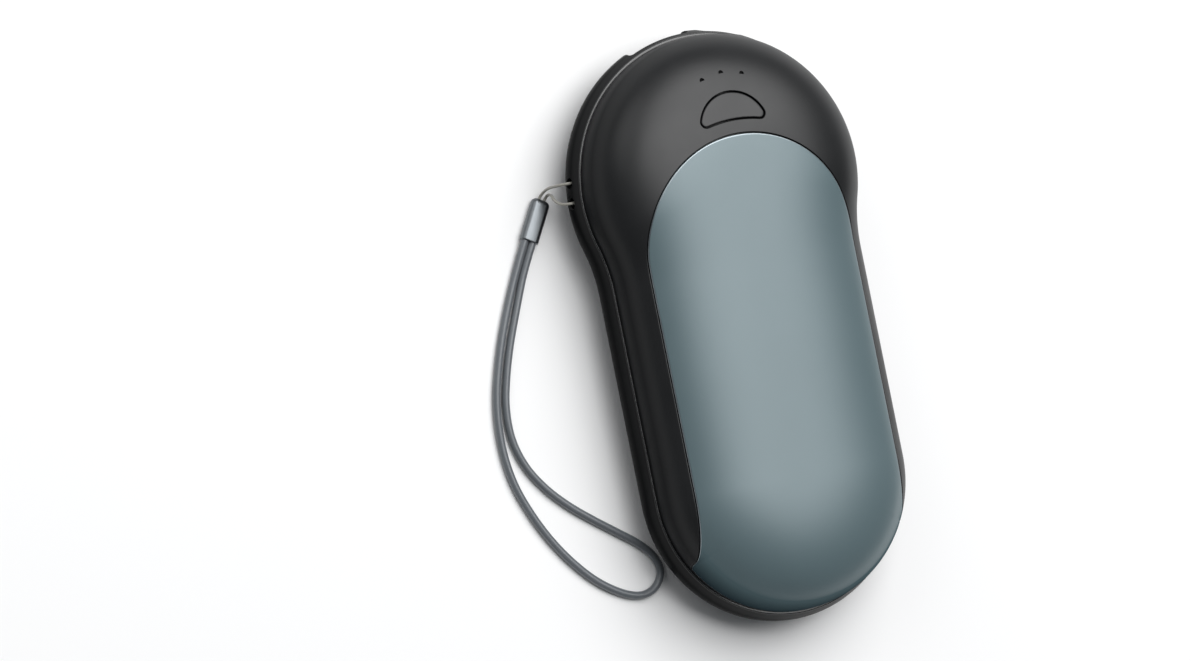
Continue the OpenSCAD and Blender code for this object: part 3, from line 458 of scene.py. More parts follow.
# Cords: the camera and these come before the rest
wristCord = {
    "diameter": 1.6, "legParts": 6, "sides": 24,
    # centre line's points over the surface, with the height of the cord's lowest side, mm
    "route": [
        (-36.7, 28.4, 0.4), (-38.8, 24.8, 0.4), (-40.6, 21.5, 0.2), (-43, 16.8, 0), (-45.4, 11.8, 0),
        (-47.8, 6.2, 0), (-49.8, 0.6, 0), (-51.4, -5.2, 0), (-52.2, -11, 0), (-52.2, -17, 0),
        (-51.2, -23, 0), (-49, -29, 0), (-46, -34.8, 0), (-42.2, -40.2, 0), (-37.8, -44.8, 0),
        (-33, -48, 0), (-29, -49.2, 0), (-25.8, -48.2, 0), (-24, -45.4, 0), (-24.8, -42, 0),
        (-27.6, -38.9, 0), (-32, -35.6, 0), (-36.6, -32.2, 0), (-41, -28.6, 0), (-45, -24.4, 0),
        (-48.2, -19.4, 0), (-49.9, -13.6, 0), (-49.8, -7.4, 0), (-48.4, -1.4, 0), (-46.2, 5, 0),
        (-43.4, 11.6, 0), (-41, 17, 0), (-39.2, 20.6, 0.2), (-37.4, 23.9, 0.4), (-35.3, 27.5, 0.4),
    ],
}
lanyardString = {
    "diameter": 0.6, "legParts": 5, "sides": 14,
    "exit": (-30.8, 34, 9),        # where it leaves the wall
    "route": [
        (-35.8, 29.3, 1.2), (-35, 30.6, 1.2), (-34.3, 31.9, 1.2), (-33.7, 32.9, 1.5), (-33.2, 33.6, 2.6),
        (-33, 33.9, 4), (-32.9, 34, 5.4), (-32.7, 34, 6.9), (-32.2, 34, 8.2), (-31.2, 34, 8.9),
        (-29.8, 34, 9), (-28, 34, 9), (-26.6, 33.4, 9), (-26, 32, 9), (-26.6, 30.6, 9), (-28, 30, 9),
        (-29.8, 30, 9), (-31.3, 30, 8.9), (-32.4, 30.2, 8.2), (-32.9, 30.8, 7), (-32.9, 31.6, 5.7),
        (-32.6, 32.3, 4.4), (-32.4, 32.7, 3.1), (-32.6, 32.6, 1.9), (-33.4, 31.4, 1.2), (-34.2, 30.1, 1.2),
        (-34.9, 28.9, 1.2),
    ],
}


def smoothRoute(part):
    # cubic through the points (Catmull-Rom): its slope at each is half the step between those around it
    p, parts = np.asarray(part["route"], dtype=float), part["legParts"]
    padded = np.vstack([2 * p[0] - p[1], p, 2 * p[-1] - p[-2]])
    a, b, c, d = (padded[j:len(padded) - 3 + j, None, :] for j in range(4))
    t = (np.arange(parts) / parts)[None, :, None]
    legs = (2 * b + (c - a) * t + (2 * a - 5 * b + 4 * c - d) * t ** 2
            + (3 * b - a - 3 * c + d) * t ** 3) / 2
    return np.vstack([legs.reshape(-1, 3), p[-1:]])


def routeLength(path):
    # sum of a path's steps
    return float(np.linalg.norm(np.diff(path, axis=0), axis=1).sum())


def sideways(path):
    # unit directions along a path, and two directions square to each that turn as little as they can
    along = np.gradient(path, axis=0)
    along /= np.linalg.norm(along, axis=1)[:, None]
    side = np.cross(along[0], (0.0, 0.0, 1.0))
    sides = []
    for direction in along:
        side = side - direction * side.dot(direction)
        side = side / np.linalg.norm(side)
        sides.append(side)
    sides = np.array(sides)
    return sides, np.cross(along, sides)


def cordPiece(name, path, part):
    # ring of a round cord round every point of its path; UV is metres along and metres round
    diameter, sides = part["diameter"], part["sides"]
    across, upright = sideways(path)
    angle = np.linspace(0, 2 * math.pi, sides, endpoint=False)
    rings = path[:, None, :] + diameter / 2 * (np.cos(angle)[None, :, None] * across[:, None, :]
                                               + np.sin(angle)[None, :, None] * upright[:, None, :])
    piece = loftPiece(name, rings)
    along = np.concatenate([[0], np.cumsum(np.linalg.norm(np.diff(path, axis=0), axis=1))]) * mm
    around = np.arange(sides + 1) / sides * math.pi * diameter * mm
    i, k = np.meshgrid(np.arange(len(path) - 1), np.arange(sides), indexing="ij")
    corners = np.stack([np.stack([along[i + di], around[k + dk]], -1)
                        for di, dk in ((0, 0), (0, 1), (1, 1), (1, 0))], axis=2).reshape(-1, 2)
    layer = piece.data.uv_layers.new(name="alongCord")
    uv = np.zeros((len(piece.data.loops), 2), dtype=np.float32)
    uv[:len(corners)] = corners
    layer.data.foreach_set("uv", uv.ravel())
    return piece


stringPath = smoothRoute(lanyardString)
stringPiece = cordPiece("lanyardStringCord", stringPath, lanyardString)
finishPiece(stringPiece, "string", "body", "lanyard_string")

cordPath = smoothRoute(wristCord)
cordPath[:, 2] = np.maximum(cordPath[:, 2], 0) + wristCord["diameter"] / 2
wristCordPiece = cordPiece("wristCordBraid", cordPath, wristCord)
finishPiece(wristCordPiece, "cord", "body", "wrist_cord")

crimp = {
    "top": (-33.6, 32.1), "turn": -120, "length": 9, "width": 4, "height": 2.4,
    "noseR": 1.2, "mouthRound": 0.25, "sides": 48,
    "noseFrom": 0.12,              # radians of the nose's quarter circle that its flat end takes
    "rings": (9, 60, 5),           # over the nose, the straight part and the mouth
}


def crimpPiece(c):
    # flattened sleeve: a stadium section along its length, which shrinks by a quarter circle at the
    # string's end and by a smaller one at the cord's end
    r, straightTo, (noseRings, sideRings, mouthRings) = c["noseR"], c["length"] - c["mouthRound"], c["rings"]
    noseTurn = np.linspace(c["noseFrom"], math.pi / 2, noseRings)
    mouthTurn = np.linspace(0, math.pi / 2, mouthRings)[1:]
    s = np.concatenate([r * (1 - np.cos(noseTurn)), np.linspace(r, straightTo, sideRings)[1:],
                        c["length"] - c["mouthRound"] * (1 - np.sin(mouthTurn))])
    nose = np.where(s < r, r - np.sqrt(np.maximum(0, r ** 2 - (r - s) ** 2)), 0)
    rim = np.maximum(0, s - straightTo)
    mouth = c["mouthRound"] - np.sqrt(np.maximum(0, c["mouthRound"] ** 2 - rim ** 2))
    shrink = nose + mouth
    angle = np.linspace(0, 2 * math.pi, c["sides"], endpoint=False)
    middle = (c["width"] - c["height"]) / 2 * np.sign(np.round(np.cos(angle), 6))
    radius = c["height"] / 2 - shrink
    y = middle[None, :] + radius[:, None] * np.cos(angle)[None, :]
    z = c["height"] / 2 + radius[:, None] * np.sin(angle)[None, :]
    turn = math.radians(c["turn"])
    x = c["top"][0] + s[:, None] * math.cos(turn) - y * math.sin(turn)
    yy = c["top"][1] + s[:, None] * math.sin(turn) + y * math.cos(turn)
    return loftPiece("crimpSleeve", np.stack([x, yy, z], -1))


crimpSleeve = crimpPiece(crimp)
turnOutwards(crimpSleeve)
finishPiece(crimpSleeve, "crimp", "body", "cord_crimp", sharpAngle=40)
for piece, path, part, withPieces in ((stringPiece, stringPath, lanyardString, []),
                                      (wristCordPiece, cordPath, wristCord, [crimpSleeve])):
    print("stage:", piece.name, "length", round(routeLength(path), 1), "mm")


# The body's outline and its rounded edges, as in the moulded shells
shape = {
    "length": 120, "lobeR": 30.8, "waistR": 28, "neckR": 32,
    "partingZ": 12, "frontRise": 14.2, "frontRun": 26, "frontPower": 2.7,
    "backRise": 8.3, "backRun": 14, "backPower": 2,
    "lip": 1.5, "lipDraft": 1, "lipEdge": 0.25, "wall": 2,
    "plateR": 22.7, "plateArcY": 14.4, "plateT": 0.8, "ledge": 5,
    "flatTurn": 4,                 # degrees that a flat mm counts as
    "topPower": 16, "toeEdgeTurn": 0.5, "edgeGap": 0.2, "edgeStep": 0.5, "seatGap": 0.15,
    "tongueDepth": 1.2, "tongueT": 0.9, "grooveGap": 0.1,
    "lobeSteps": 72, "neckSteps": 18, "sideSteps": 30, "toeSteps": 64,
}
lobeY = shape["length"] / 2 - shape["lobeR"]
toeY = shape["waistR"] - shape["length"] / 2
neckX = shape["waistR"] + shape["neckR"]
neckA = math.acos(neckX / (shape["lobeR"] + shape["neckR"]))
neckY = lobeY - (shape["lobeR"] + shape["neckR"]) * math.sin(neckA)
rimIn = shape["lip"] + shape["wall"]
seatDepth = shape["plateT"] + shape["seatGap"]


def arc(x, y, radius, start, end, steps, endpoint=False):
    # centre + radius (cos, sin) of even steps of angle
    angle = np.linspace(start, end, steps, endpoint=endpoint)
    return (x, y) + radius * np.stack([np.cos(angle), np.sin(angle)], -1)


def outlineStations():
    # right side from the top to the toe: lobe arc, hollow neck arc, straight waist and toe arc,
    # then the same mirrored; every station has a point and its outward direction
    b = shape
    lobe, neck = (math.pi / 2, -neckA, b["lobeSteps"]), (math.pi - neckA, math.pi, b["neckSteps"])
    toe = (0, -math.pi / 2, b["toeSteps"] + 1, True)
    sideY = np.linspace(neckY, toeY, b["sideSteps"], endpoint=False)
    side = np.stack([np.full_like(sideY, b["waistR"]), sideY], -1)
    points = np.concatenate([arc(0, lobeY, b["lobeR"], *lobe), arc(neckX, neckY, b["neckR"], *neck),
                             side, arc(0, toeY, b["waistR"], *toe)])
    outward = np.concatenate([arc(0, 0, 1, *lobe), arc(0, 0, -1, *neck),
                              np.tile([1.0, 0.0], (len(side), 1)), arc(0, 0, 1, *toe)])
    points[[0, -1], 0] = 0
    outward[[0, -1], 0] = 0
    mirror = np.array([-1, 1])
    isToe = np.arange(len(points)) > b["lobeSteps"] + b["neckSteps"] + b["sideSteps"]
    return (np.concatenate([points, points[-2:0:-1] * mirror]),
            np.concatenate([outward, outward[-2:0:-1] * mirror]),
            np.concatenate([isToe, isToe[-2:0:-1]]))


stations, stationOut, onToe = outlineStations()
ringCount = len(stations)


def sideCross(radius):
    # distance inwards from every station to the straight sides of a panel of that half width:
    # (|x| - r) / |outward x|, with the latter kept off 0
    return (np.abs(stations[:, 0]) - radius) / np.maximum(np.abs(stationOut[:, 0]), 0.001)


def panelCross(radius):
    # the same for the whole panel, with a round toe and a round upper end: a - sqrt(a^2 - x^2 - y^2
    # + r^2), where x, y is the station from that end's middle and a is how far outwards it lies
    x, y = stations[:, 0], stations[:, 1] - shape["plateArcY"]
    along = x * stationOut[:, 0] + y * stationOut[:, 1]
    upper = along - np.sqrt(np.maximum(0, along ** 2 - x ** 2 - y ** 2 + radius ** 2))
    side = sideCross(radius)
    onSide = stations[:, 1] - stationOut[:, 1] * side <= shape["plateArcY"]
    onSide[0] = False
    return np.where(onToe, shape["waistR"] - radius, np.where(onSide, side, upper))


def openToeCross(radius):
    # the same where the panel runs straight on over the toe
    return np.where(onToe, sideCross(radius), panelCross(radius))


def turnOf(inset, run, power):
    # how far a section has turned, in degrees, at a distance inwards: acos of (1 - inset / run)^(n/2),
    # and 90 where it lies flat
    inside = np.clip(1 - inset / run, 0, 1)
    curved = np.degrees(np.arccos(inside ** (power / 2)))
    return np.where(inset < run, curved, 90 + (inset - run) * shape["flatTurn"])


def skin(turn, depth, run, rise, power):
    # superellipse edge: inset = run (1 - cos^(2/n) t), height = rise sin^(2/n) t, then a point
    # at a depth under it along the inward normal
    t = np.radians(np.clip(turn, 0, 90))
    inset = np.where(turn < 90, run * (1 - np.cos(t) ** (2 / power)),
                     run + (turn - 90) / shape["flatTurn"])
    height = np.where(turn < 90, rise * np.sin(t) ** (2 / power), rise)
    slopeIn = np.where(turn < 90, np.clip(1 - inset / run, 0, 1) ** (power - 1) / run, 0)
    slopeUp = np.where(turn < 90, (height / rise) ** (power - 1) / rise, 1)
    size = np.hypot(slopeIn, slopeUp)
    return inset + depth * slopeIn / size, height - depth * slopeUp / size


def frontSkin(turn, depth):
    # the front's edge, set in by the lip and standing on the parting line
    inset, height = skin(turn, depth, shape["frontRun"], shape["frontRise"], shape["frontPower"])
    return inset + shape["lip"], shape["partingZ"] + height


def backSkin(turn, depth):
    # the back's edge, upside down
    inset, height = skin(turn, depth, shape["backRun"], shape["backRise"], shape["backPower"])
    return inset, shape["backRise"] - height


def frontTurn(inset):
    # turn of the front's edge at a distance inwards from the outline
    return turnOf(inset - shape["lip"], shape["frontRun"], shape["frontPower"])


def backTurn(inset):
    # the same for the back
    return turnOf(inset, shape["backRun"], shape["backPower"])


frontEdge = np.maximum(shape["toeEdgeTurn"], frontTurn(openToeCross(shape["plateR"])))
windowCross = panelCross(shape["plateR"] - shape["ledge"])
frontWindow = np.maximum(frontTurn(windowCross), frontEdge + shape["flatTurn"])
backEdge = backTurn(panelCross(shape["plateR"]))
backWindow = backTurn(windowCross)
topFlat = shape["length"] / 2 - cadBounds[1][1] / mm


def placeRing(inset, z):
    # points of every station at a distance inwards and a height; the very top of the lobe is drawn
    # in by the CAD's flat there, with a high power of the distance along the body
    xy = stations - stationOut * np.broadcast_to(inset, ringCount)[:, None]
    xy[:, 1] -= topFlat * np.maximum(0, 2 * xy[:, 1] / shape["length"]) ** shape["topPower"]
    return np.concatenate([xy, np.broadcast_to(z, ringCount)[:, None]], axis=1)


def skinRings(skinOf, turnFrom, turnTo, depthFrom, depthTo, count):
    # rings from one turn and depth to another, in even steps
    return [placeRing(*skinOf(turnFrom + (turnTo - turnFrom) * s, depthFrom + (depthTo - depthFrom) * s))
            for s in np.linspace(0, 1, count + 1)]


# Broken edges of plates and recesses, mm
edges = {
    "plateWidth": 0.32, "plateDepth": 0.15, "recessWidth": 0.12, "hairline": 0.07,
    "plateRound": ((0.4, 0.25), (0.1, 0.7)),   # shares of that width and depth at each ring of the edge
    "plateSide": 1.4,                          # share of that depth where the upright side starts
    "innerEdge": 0.1,
    "seamTurn": 0.12,                          # degrees, where the front's skin starts at the seam
    "rimTurn": 1.2,                            # radians that the round of the back's rim turns
}
ringSteps = {
    "front": 40, "back": 26, "recess": 2, "ledge": 4, "inside": 14, "rim": 5, "lean": 10,
    "plateFace": 40, "plateSide": 2, "plateInside": 16,
}


def pastTurn(skinOf, turn, distance):
    # turn that lies a distance further along a skin: the distance over the length of half a degree
    (nearIn, nearZ), (farIn, farZ) = skinOf(turn, 0), skinOf(turn + shape["edgeStep"], 0)
    return turn + shape["edgeStep"] * distance / np.hypot(farIn - nearIn, farZ - nearZ)


def insideRings(skinOf, edge, window):
    # recess, ledge and inner skin
    wall = shape["wall"]
    return (skinRings(skinOf, edge, edge, edges["recessWidth"], seatDepth, ringSteps["recess"])
            + skinRings(skinOf, edge, window, seatDepth, seatDepth, ringSteps["ledge"])[1:]
            + skinRings(skinOf, window, 0, wall, wall, ringSteps["inside"]))


def frontShellRings():
    # outer skin from the parting line, broken edge, recess, ledge, inner skin and tongue
    z = shape["partingZ"]
    tongueIn, tongueZ = rimIn - shape["tongueT"], z - shape["tongueDepth"]
    rings = [placeRing(shape["lip"] + edges["hairline"], z)]
    start = pastTurn(frontSkin, frontEdge, -edges["recessWidth"])
    rings += skinRings(frontSkin, edges["seamTurn"], start, 0, 0, ringSteps["front"])
    rings += insideRings(frontSkin, frontEdge, frontWindow)
    rings += [placeRing(rimIn, tongueZ), placeRing(tongueIn, tongueZ), placeRing(tongueIn, z)]
    return rings


def backShellRings():
    # groove, broken edge of the rim, its side that leans inwards with the square of the height,
    # outer skin, broken edge, recess, ledge and inner skin
    z, r, lean = shape["partingZ"], shape["lipEdge"], shape["lipDraft"]
    sideH = z - r - shape["backRise"]
    grooveZ = z - shape["tongueDepth"] - shape["grooveGap"]
    grooveIn = rimIn - shape["tongueT"] - shape["grooveGap"]
    rings = [placeRing(rimIn, grooveZ), placeRing(grooveIn, grooveZ), placeRing(grooveIn, z)]
    rings += [placeRing(lean + r - r * math.sin(a), z - r + r * math.cos(a))
              for a in np.linspace(0, edges["rimTurn"], ringSteps["rim"])]
    rings += [placeRing(lean * share ** 2, shape["backRise"] + sideH * share)
              for share in np.linspace(1, 0, ringSteps["lean"] + 1)[:-1]]
    start = pastTurn(backSkin, backEdge, -edges["recessWidth"])
    rings += skinRings(backSkin, 0, start, 0, 0, ringSteps["back"])
    return rings + insideRings(backSkin, backEdge, backWindow)


def shellPiece(name, points):
    # a closed section carried round: a grid of points that closes both ways
    piece = linkMesh(name, points.reshape(-1, 3), gridFaces(*points.shape[:2], True, True))
    turnOutwards(piece)
    return piece


def circleLoop(x, y, z, radius, sides=40):
    # centre + radius (cos, sin), from half a step round, so that no point lies on the middle plane
    angle = (np.arange(sides) + 0.5) * 2 * math.pi / sides
    return np.stack([x + radius * np.cos(angle), y + radius * np.sin(angle), np.full(sides, float(z))], -1)


def postPiece(x, y, profile, sides=40):
    # turned post with a hole: a closed profile of radius and height carried round an upright axis
    return shellPiece("post", np.stack([circleLoop(x, y, z, r, sides) for r, z in profile]))


def pinCutter(x, y, levels, sides=32):
    # solid of upright circles, one for each radius and height
    return loftPiece("pinCutter", [circleLoop(x, y, z, r, sides) for r, z in levels])


# Opening for the button: an upper arc, a lower arc round the plates' centre and two horn corners
crescent = {
    "y": 38.2, "r": 7.3, "lowerR": 25.6, "cornerR": 1, "middleY": 42,
    "gap": 0.25, "breakDepth": 0.1, "breakWidth": 0.1, "cutterOut": 5, "cutterUp": 4,
    "arcSteps": 41, "cornerSteps": 10,
}


def crescentLoop(grow):
    # outline pushed outwards by grow: all arcs keep their centres and change their radii; the horns'
    # centres lie where the inner offset of the upper arc meets the outer one of the lower arc
    c = crescent
    innerR, outerR, rise = c["r"] - c["cornerR"], c["lowerR"] + c["cornerR"], c["y"] - shape["plateArcY"]
    hornY = c["y"] + (outerR ** 2 - innerR ** 2 - rise ** 2) / (2 * rise)
    hornX = math.sqrt(innerR ** 2 - (hornY - c["y"]) ** 2)
    up = math.atan2(hornY - c["y"], hornX)
    down = math.atan2(shape["plateArcY"] - hornY, -hornX)
    low = down + math.pi
    return np.concatenate([
        arc(hornX, hornY, c["cornerR"] + grow, down, up, c["cornerSteps"]),
        arc(0, c["y"], c["r"] + grow, up, math.pi - up, c["arcSteps"]),
        arc(-hornX, hornY, c["cornerR"] + grow, math.pi - up, math.pi - down, c["cornerSteps"]),
        arc(0, shape["plateArcY"], c["lowerR"] - grow, math.pi - low, low, c["arcSteps"]),
    ])


def atHeight(loop, z):
    # a flat loop's points at a height
    return np.concatenate([loop, np.broadcast_to(z, len(loop))[:, None]], axis=1)


def domeHeight(x, y):
    # height of the front over the lobe: parting line + rise (1 - (1 - inset / run)^n)^(1/n)
    inset = shape["lobeR"] - np.hypot(x, y - lobeY) - shape["lip"]
    share = np.clip(1 - inset / shape["frontRun"], 0, 1)
    power = shape["frontPower"]
    return shape["partingZ"] + shape["frontRise"] * (1 - share ** power) ** (1 / power)


holes = {
    "lightR": 11.5, "lightStep": 22.5, "lightD": 0.9, "lightFlare": 0.07,
    "stringYs": (29.95, 33.95), "stringZ": 9, "stringD": 2.2, "stringFlare": 0.45,
    "topIn": 7, "socketGap": 0.25,
    "cutFrom": 21, "cutTo": 28, "past": 1,     # cutters in the front, and how far a cutter runs past
    "stringXs": (-25, -30.5, -31.5), "stringSides": 36,   # inside, start of the flare, outside
    # place across, width, height and corner radius of the sockets that hang under the board
    "boardZ": 10.6, "large": (-5.8, 13.1, 5.7, 0.6), "small": (7.9, 9, 3.3, 1.65),
}
lightPlaces = [(holes["lightR"] * math.sin(a), crescent["y"] + holes["lightR"] * math.cos(a))
               for a in (math.radians(k * holes["lightStep"]) for k in (-1, 0, 1))]


def followDome(loop, lift):
    # a flat loop's points at a height over the dome
    return atHeight(loop, domeHeight(loop[:, 0], loop[:, 1]) + lift)


def frontCutters():
    # the crescent's cutter opens out over a broken edge that follows the dome
    inZ = holes["cutFrom"]
    c, narrow = crescent, crescentLoop(crescent["gap"])
    wide = crescentLoop(c["gap"] + c["cutterOut"] * c["breakWidth"])
    cutters = [loftPiece("crescentCutter", [
        atHeight(narrow, inZ), followDome(narrow, -c["breakDepth"]),
        followDome(wide, c["cutterUp"] * c["breakDepth"]),
        atHeight(wide, holes["cutTo"])])]
    r, flare, low = holes["lightD"] / 2, holes["lightFlare"], inZ - holes["past"]
    for x, y in lightPlaces:
        z = float(domeHeight(x, y))
        cutters.append(pinCutter(x, y, [(r, low), (r, z - flare), (r + 2 * flare, z + flare)]))
    return cutters


def slotLoop(x, y, z, width, height, r, steps=8):
    # rounded rectangle across the body at a distance along it: a quarter circle about each corner
    corner = np.linspace(0, math.pi / 2, steps)
    angle = np.concatenate([corner + q * math.pi / 2 for q in range(4)])
    sx = np.repeat([1, -1, -1, 1], steps) * (width / 2 - r)
    sz = np.repeat([1, 1, -1, -1], steps) * (height / 2 - r)
    return np.stack([x + sx + r * np.cos(angle), np.full(len(angle), float(y)),
                     z + sz + r * np.sin(angle)], -1)


def backCutters():
    # sockets' slots, string holes that flare outwards, and the screw heads' wells
    o, half = holes, shape["length"] / 2
    cutters = []
    for x, width, height, r in (o["large"], o["small"]):
        g, z = o["socketGap"], o["boardZ"] - height / 2
        cutters.append(loftPiece("socketCutter", [
            slotLoop(x, y, z, width + 2 * g, height + 2 * g, r + g)
            for y in (half - o["topIn"], half + o["past"])]))
    angle = np.linspace(0, 2 * math.pi, o["stringSides"], endpoint=False)
    for y in o["stringYs"]:
        cutters.append(loftPiece("stringCutter", [
            np.stack([np.full_like(angle, x), y + r * np.cos(angle), o["stringZ"] + r * np.sin(angle)], -1)
            for x, r in zip(o["stringXs"], o["stringD"] / 2 + np.array([0, 0, 2 * o["stringFlare"]]))]))
    for x, y in casePosts:
        cutters.append(pinCutter(x, y, [(posts["headR"], -o["past"]), (posts["headR"], posts["seatZ"])]))
    return cutters


# Screw posts inside the shells
posts = {
    "headR": 2, "seatZ": 3.7, "splitZ": 8, "holeR": 0.9, "passR": 1.1, "postR": 1.9, "bossR": 3.1,
    "reachZ": 15,
    "upperAngle": 54.3, "upperRing": 20.55, "lowerAngle": 64.6, "lowerRing": 18.65,
    "boardX": 17.99, "boardY": 42.13, "boardR": 2.2, "boardHoleR": 0.75, "boardHoleZ": 5.6,
    "sink": 0.1, "tipR": 0.02,
}
casePosts = [(side * posts[ring] * math.cos(math.radians(posts[angle])),
              centre + sign * posts[ring] * math.sin(math.radians(posts[angle])))
             for ring, angle, centre, sign in (("upperRing", "upperAngle", shape["plateArcY"], 1),
                                               ("lowerRing", "lowerAngle", toeY, -1)) for side in (1, -1)]


def insetAt(x, y):
    # distance inwards from the nearest of the lobe's and the toe's circles
    radius, middle = (shape["lobeR"], lobeY) if y > 0 else (shape["waistR"], toeY)
    return radius - math.hypot(x, y - middle)


def frontPost(x, y):
    # tube that stands from the split into the front's inner skin, solid above its screw hole
    p = posts
    top = float(frontSkin(frontTurn(insetAt(x, y) - p["postR"] - seatDepth / 2), seatDepth)[1]) - p["sink"]
    low = p["splitZ"] + p["sink"]
    return postPiece(x, y, [
        (p["holeR"], low), (p["postR"], low), (p["postR"], top), (p["tipR"], top),
        (p["tipR"], p["reachZ"]), (p["holeR"], p["reachZ"])])


def backBoss(x, y):
    # tube from the back's inner skin to the split, with a well for the screw's head
    p = posts
    foot = float(backSkin(backTurn(insetAt(x, y) - p["bossR"]), seatDepth)[1]) + p["sink"]
    return postPiece(x, y, [
        (p["passR"], p["seatZ"]), (p["passR"], p["splitZ"]), (p["bossR"], p["splitZ"]),
        (p["bossR"], foot), (p["headR"], foot), (p["headR"], p["seatZ"])])


def boardPost(side):
    # pin from the back's inner skin to the board, with a screw hole from above
    p = posts
    return postPiece(side * p["boardX"], p["boardY"], [
        (p["boardHoleR"], p["boardHoleZ"]), (p["boardHoleR"], holes["boardZ"]),
        (p["boardR"], holes["boardZ"]), (p["boardR"], shape["wall"]),
        (p["tipR"], shape["wall"]), (p["tipR"], p["boardHoleZ"])])


frontShell = shellPiece("frontShellMoulding", np.stack(frontShellRings(), axis=1))
cutPiece(frontShell, frontCutters())
joinPieces(frontShell, [frontPost(x, y) for x, y in casePosts])
finishPiece(frontShell, "shell", "body", "front_shell")
backShell = shellPiece("backShellMoulding", np.stack(backShellRings(), axis=1))
cutPiece(backShell, backCutters())
joinPieces(backShell, [backBoss(x, y) for x, y in casePosts] + [boardPost(side) for side in (1, -1)])
finishPiece(backShell, "back", "body", "back_shell")
giveSecond(backShell, "polished", faceCentres(backShell)[:, 2] > shape["partingZ"] - shape["lipEdge"])
print("stage: shells,", len(frontShell.data.polygons) + len(backShell.data.polygons), "faces")


# Heating plates: formed sheets let into the shells
def middleFaces(start, flip):
    # strips between left and right stations across the flat middle of a ring
    half = ringCount // 2
    i = np.arange(1, half - 1)
    strips = (np.stack([i, i + 1, ringCount - i - 1, ringCount - i], -1) + start).tolist()
    ends = [[start, start + 1, start + ringCount - 1], [start + half - 1, start + half, start + half + 1]]
    return [face[::-1] for face in strips + ends] if flip else strips + ends


def platePiece(name, skinOf, edge, node):
    # rings from the middle of the outer face over the broken edge to the middle of the inner face
    rim = pastTurn(skinOf, edge, shape["edgeGap"])
    flat = np.maximum(90, rim + 2 * shape["flatTurn"])
    thick, width, depth = shape["plateT"], edges["plateWidth"], edges["plateDepth"]
    inner, outerRows = edges["innerEdge"], ringSteps["plateFace"]
    rings = skinRings(skinOf, flat, pastTurn(skinOf, rim, width), 0, 0, outerRows)
    rings += [placeRing(*skinOf(pastTurn(skinOf, rim, width * s), depth * d)) for s, d in edges["plateRound"]]
    rings += skinRings(skinOf, rim, rim, depth * edges["plateSide"], thick - inner, ringSteps["plateSide"])
    rings += skinRings(skinOf, pastTurn(skinOf, rim, inner), flat, thick, thick, ringSteps["plateInside"])
    points = np.stack(rings)
    faces = gridFaces(len(rings), ringCount, False, True)
    faces += middleFaces(0, False) + middleFaces((len(rings) - 1) * ringCount, True)
    piece = linkMesh(name, points.reshape(-1, 3), faces)
    turnOutwards(piece)
    finishPiece(piece, "plate", "body", node, sharpAngle=40)
    row = np.arange(len(piece.data.polygons)) // ringCount
    giveSecond(piece, "cutEdge", (row >= outerRows) & (row < outerRows + len(edges["plateRound"])))


platePiece("frontHeatingPlate", frontSkin, frontEdge, "front_plate")
platePiece("backHeatingPlate", backSkin, backEdge, "back_plate")
print("stage: plates")

pushButton = {
    "drop": 0.08, "round": 0.28, "flangeW": 0.8, "flangeZ": 22.19, "flangeT": 0.8,
    "stemR": 1.6, "stemZ": 16.12, "topRings": 14, "roundRings": 6, "topMiddle": 0.03, "stemMiddle": 0.05,
}


def buttonPiece(b):
    # crescent that follows the dome: rings shrink towards its middle, its edge is a quarter round,
    # and a flange and a stem lie under it
    middle = np.array([0, crescent["middleY"]])

    def shrunk(loop, share):
        return middle + (loop - middle) * share

    top = crescentLoop(-b["round"])
    rings = [followDome(shrunk(top, s), -b["drop"]) for s in np.linspace(b["topMiddle"], 1, b["topRings"])]
    for a in np.linspace(0, math.pi / 2, b["roundRings"])[1:]:
        rings.append(followDome(crescentLoop(b["round"] * (math.sin(a) - 1)),
                                -b["drop"] - b["round"] * (1 - math.cos(a))))
    side, flange, flangeTop = crescentLoop(0), crescentLoop(b["flangeW"]), b["flangeZ"] + b["flangeT"]
    rings += [atHeight(side, flangeTop), atHeight(flange, flangeTop), atHeight(flange, b["flangeZ"])]
    toMiddle = side - middle
    stem = middle + b["stemR"] * toMiddle / np.linalg.norm(toMiddle, axis=1)[:, None]
    rings += [atHeight(stem, b["flangeZ"]), atHeight(stem, b["stemZ"]),
              atHeight(shrunk(stem, b["stemMiddle"]), b["stemZ"])]
    return loftPiece("crescentButton", rings)


button = buttonPiece(pushButton)
turnOutwards(button)
finishPiece(button, "button", "push_button", "button", sharpAngle=40)
print("stage: button")

# Contacts of the sockets: thin gold strips lying on their tongues
contacts = {
    "largeXs": (-3.5, -1.25, 1.25, 3.5), "largeW": 1.1, "largeY": (45.6, 52.6), "largeZ": 7.75,
    "smallXs": np.arange(-2.25, 2.5, 0.5), "smallW": 0.28,
    "smallY": (50, 53.7), "smallZ": (8.6, 9.3), "thick": 0.06, "sink": 0.01,
    "endIn": (0.3, 0.1, 0), "endLift": (1, 0.7, 0.15),   # where the strip's end bends down, and how far
}


def contactStrip(x, y0, y1, z, width, up):
    # flat strip with its free end rounded over
    y = np.array([y0] + [y1 - d for d in contacts["endIn"]])
    lift = contacts["thick"] * up * np.array((1,) + contacts["endLift"])
    left, right = np.full(len(y), x - width / 2), np.full(len(y), x + width / 2)
    base = np.full(len(y), z - contacts["sink"] * up)
    return loftPiece("contactStrip", np.stack([
        np.stack([left, y, base], -1), np.stack([right, y, base], -1),
        np.stack([right, y, z + lift], -1), np.stack([left, y, z + lift], -1)], axis=1))


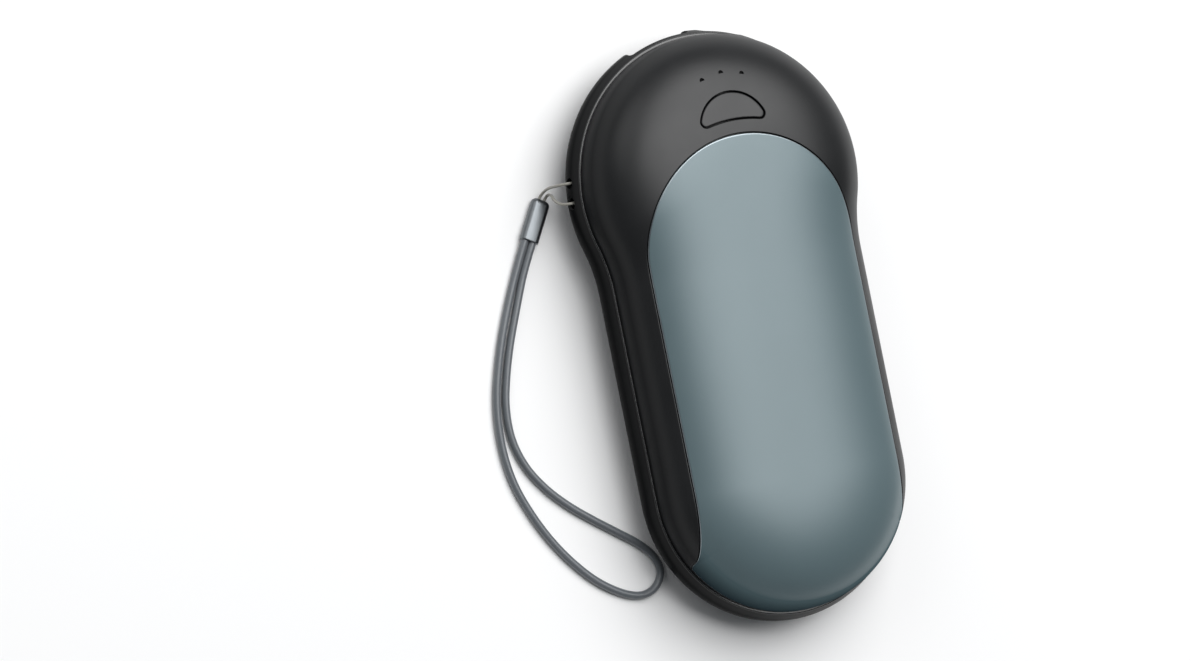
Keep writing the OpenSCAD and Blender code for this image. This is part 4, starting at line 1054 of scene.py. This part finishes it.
def socketContacts():
    # one row in the large socket, one on either face of the small one's tongue
    k = contacts
    strips = [contactStrip(holes["large"][0] + x, *k["largeY"], k["largeZ"], k["largeW"], -1)
              for x in k["largeXs"]]
    for z, up in zip(k["smallZ"], (-1, 1)):
        strips += [contactStrip(holes["small"][0] + x, *k["smallY"], z, k["smallW"], up)
                   for x in k["smallXs"]]
    for strip in strips:
        turnOutwards(strip)
    joinPieces(strips[0], strips[1:])
    return strips[0]


contactPiece = socketContacts()
contactPiece.name = "socketContacts"
finishPiece(contactPiece, "gold", "body", None)
print("stage: socket contacts")

# Floor, lamps and surroundings
studio = {
    "floorColour": "#f6f6f6", "floorSize": 12000,
    "keyPlace": (0.34, 0.5, 1.2), "keySize": 1.35, "keyPower": 24.5,
    "fillPlace": (-0.7, 0.85, 0.75), "fillSize": 0.9, "fillPower": 3.0,
    "surround": "#8c8f92", "surroundStrength": 0.5,
}


def makeFloor(s):
    # matt pale paint on a smooth board, with a faint tooth of 0.6 mm
    material, tree, here = startMaterial("palePaint")
    tooth = addNode(tree, "TexNoise", {"Scale": perMetre(0.6), "Detail": 2}, here)
    bump = addNode(tree, "Bump", {"Strength": 0.03, "Distance": 0.0001}, {"Height": (tooth, "Fac")})
    matt = addNode(tree, "BsdfDiffuse", {"Color": hexColour(s["floorColour"])}, {"Normal": (bump, "Normal")})
    finishMaterial(material, tree, matt)
    half = s["floorSize"] / 2
    corners = [(-half, -half, 0), (half, -half, 0), (half, half, 0), (-half, half, 0)]
    floor = linkMesh("floor", corners, [(0, 1, 2, 3)])
    floor.data.materials.append(material)


def makeLamp(name, place, size, power):
    # square softbox that faces the middle of the object
    data = bpy.data.lights.new(name, "AREA")
    data.shape, data.size, data.energy = "SQUARE", size, power
    lamp = bpy.data.objects.new(name, data)
    scene.collection.objects.link(lamp)
    back = Vector(place).normalized()
    lamp.matrix_world = Matrix.Translation(place) @ back.to_track_quat("Z", "Y").to_matrix().to_4x4()


def makeSurround(s):
    world = bpy.data.worlds.new("studio")
    world.use_nodes = True
    background = world.node_tree.nodes["Background"].inputs
    background["Color"].default_value = hexColour(s["surround"])
    background["Strength"].default_value = s["surroundStrength"]
    scene.world = world


makeFloor(studio)
makeLamp("keySoftbox", studio["keyPlace"], studio["keySize"], studio["keyPower"])
makeLamp("fillSoftbox", studio["fillPlace"], studio["fillSize"], studio["fillPower"])
makeSurround(studio)
scene.view_settings.view_transform = "Standard"
print("stage: floor and lamps")
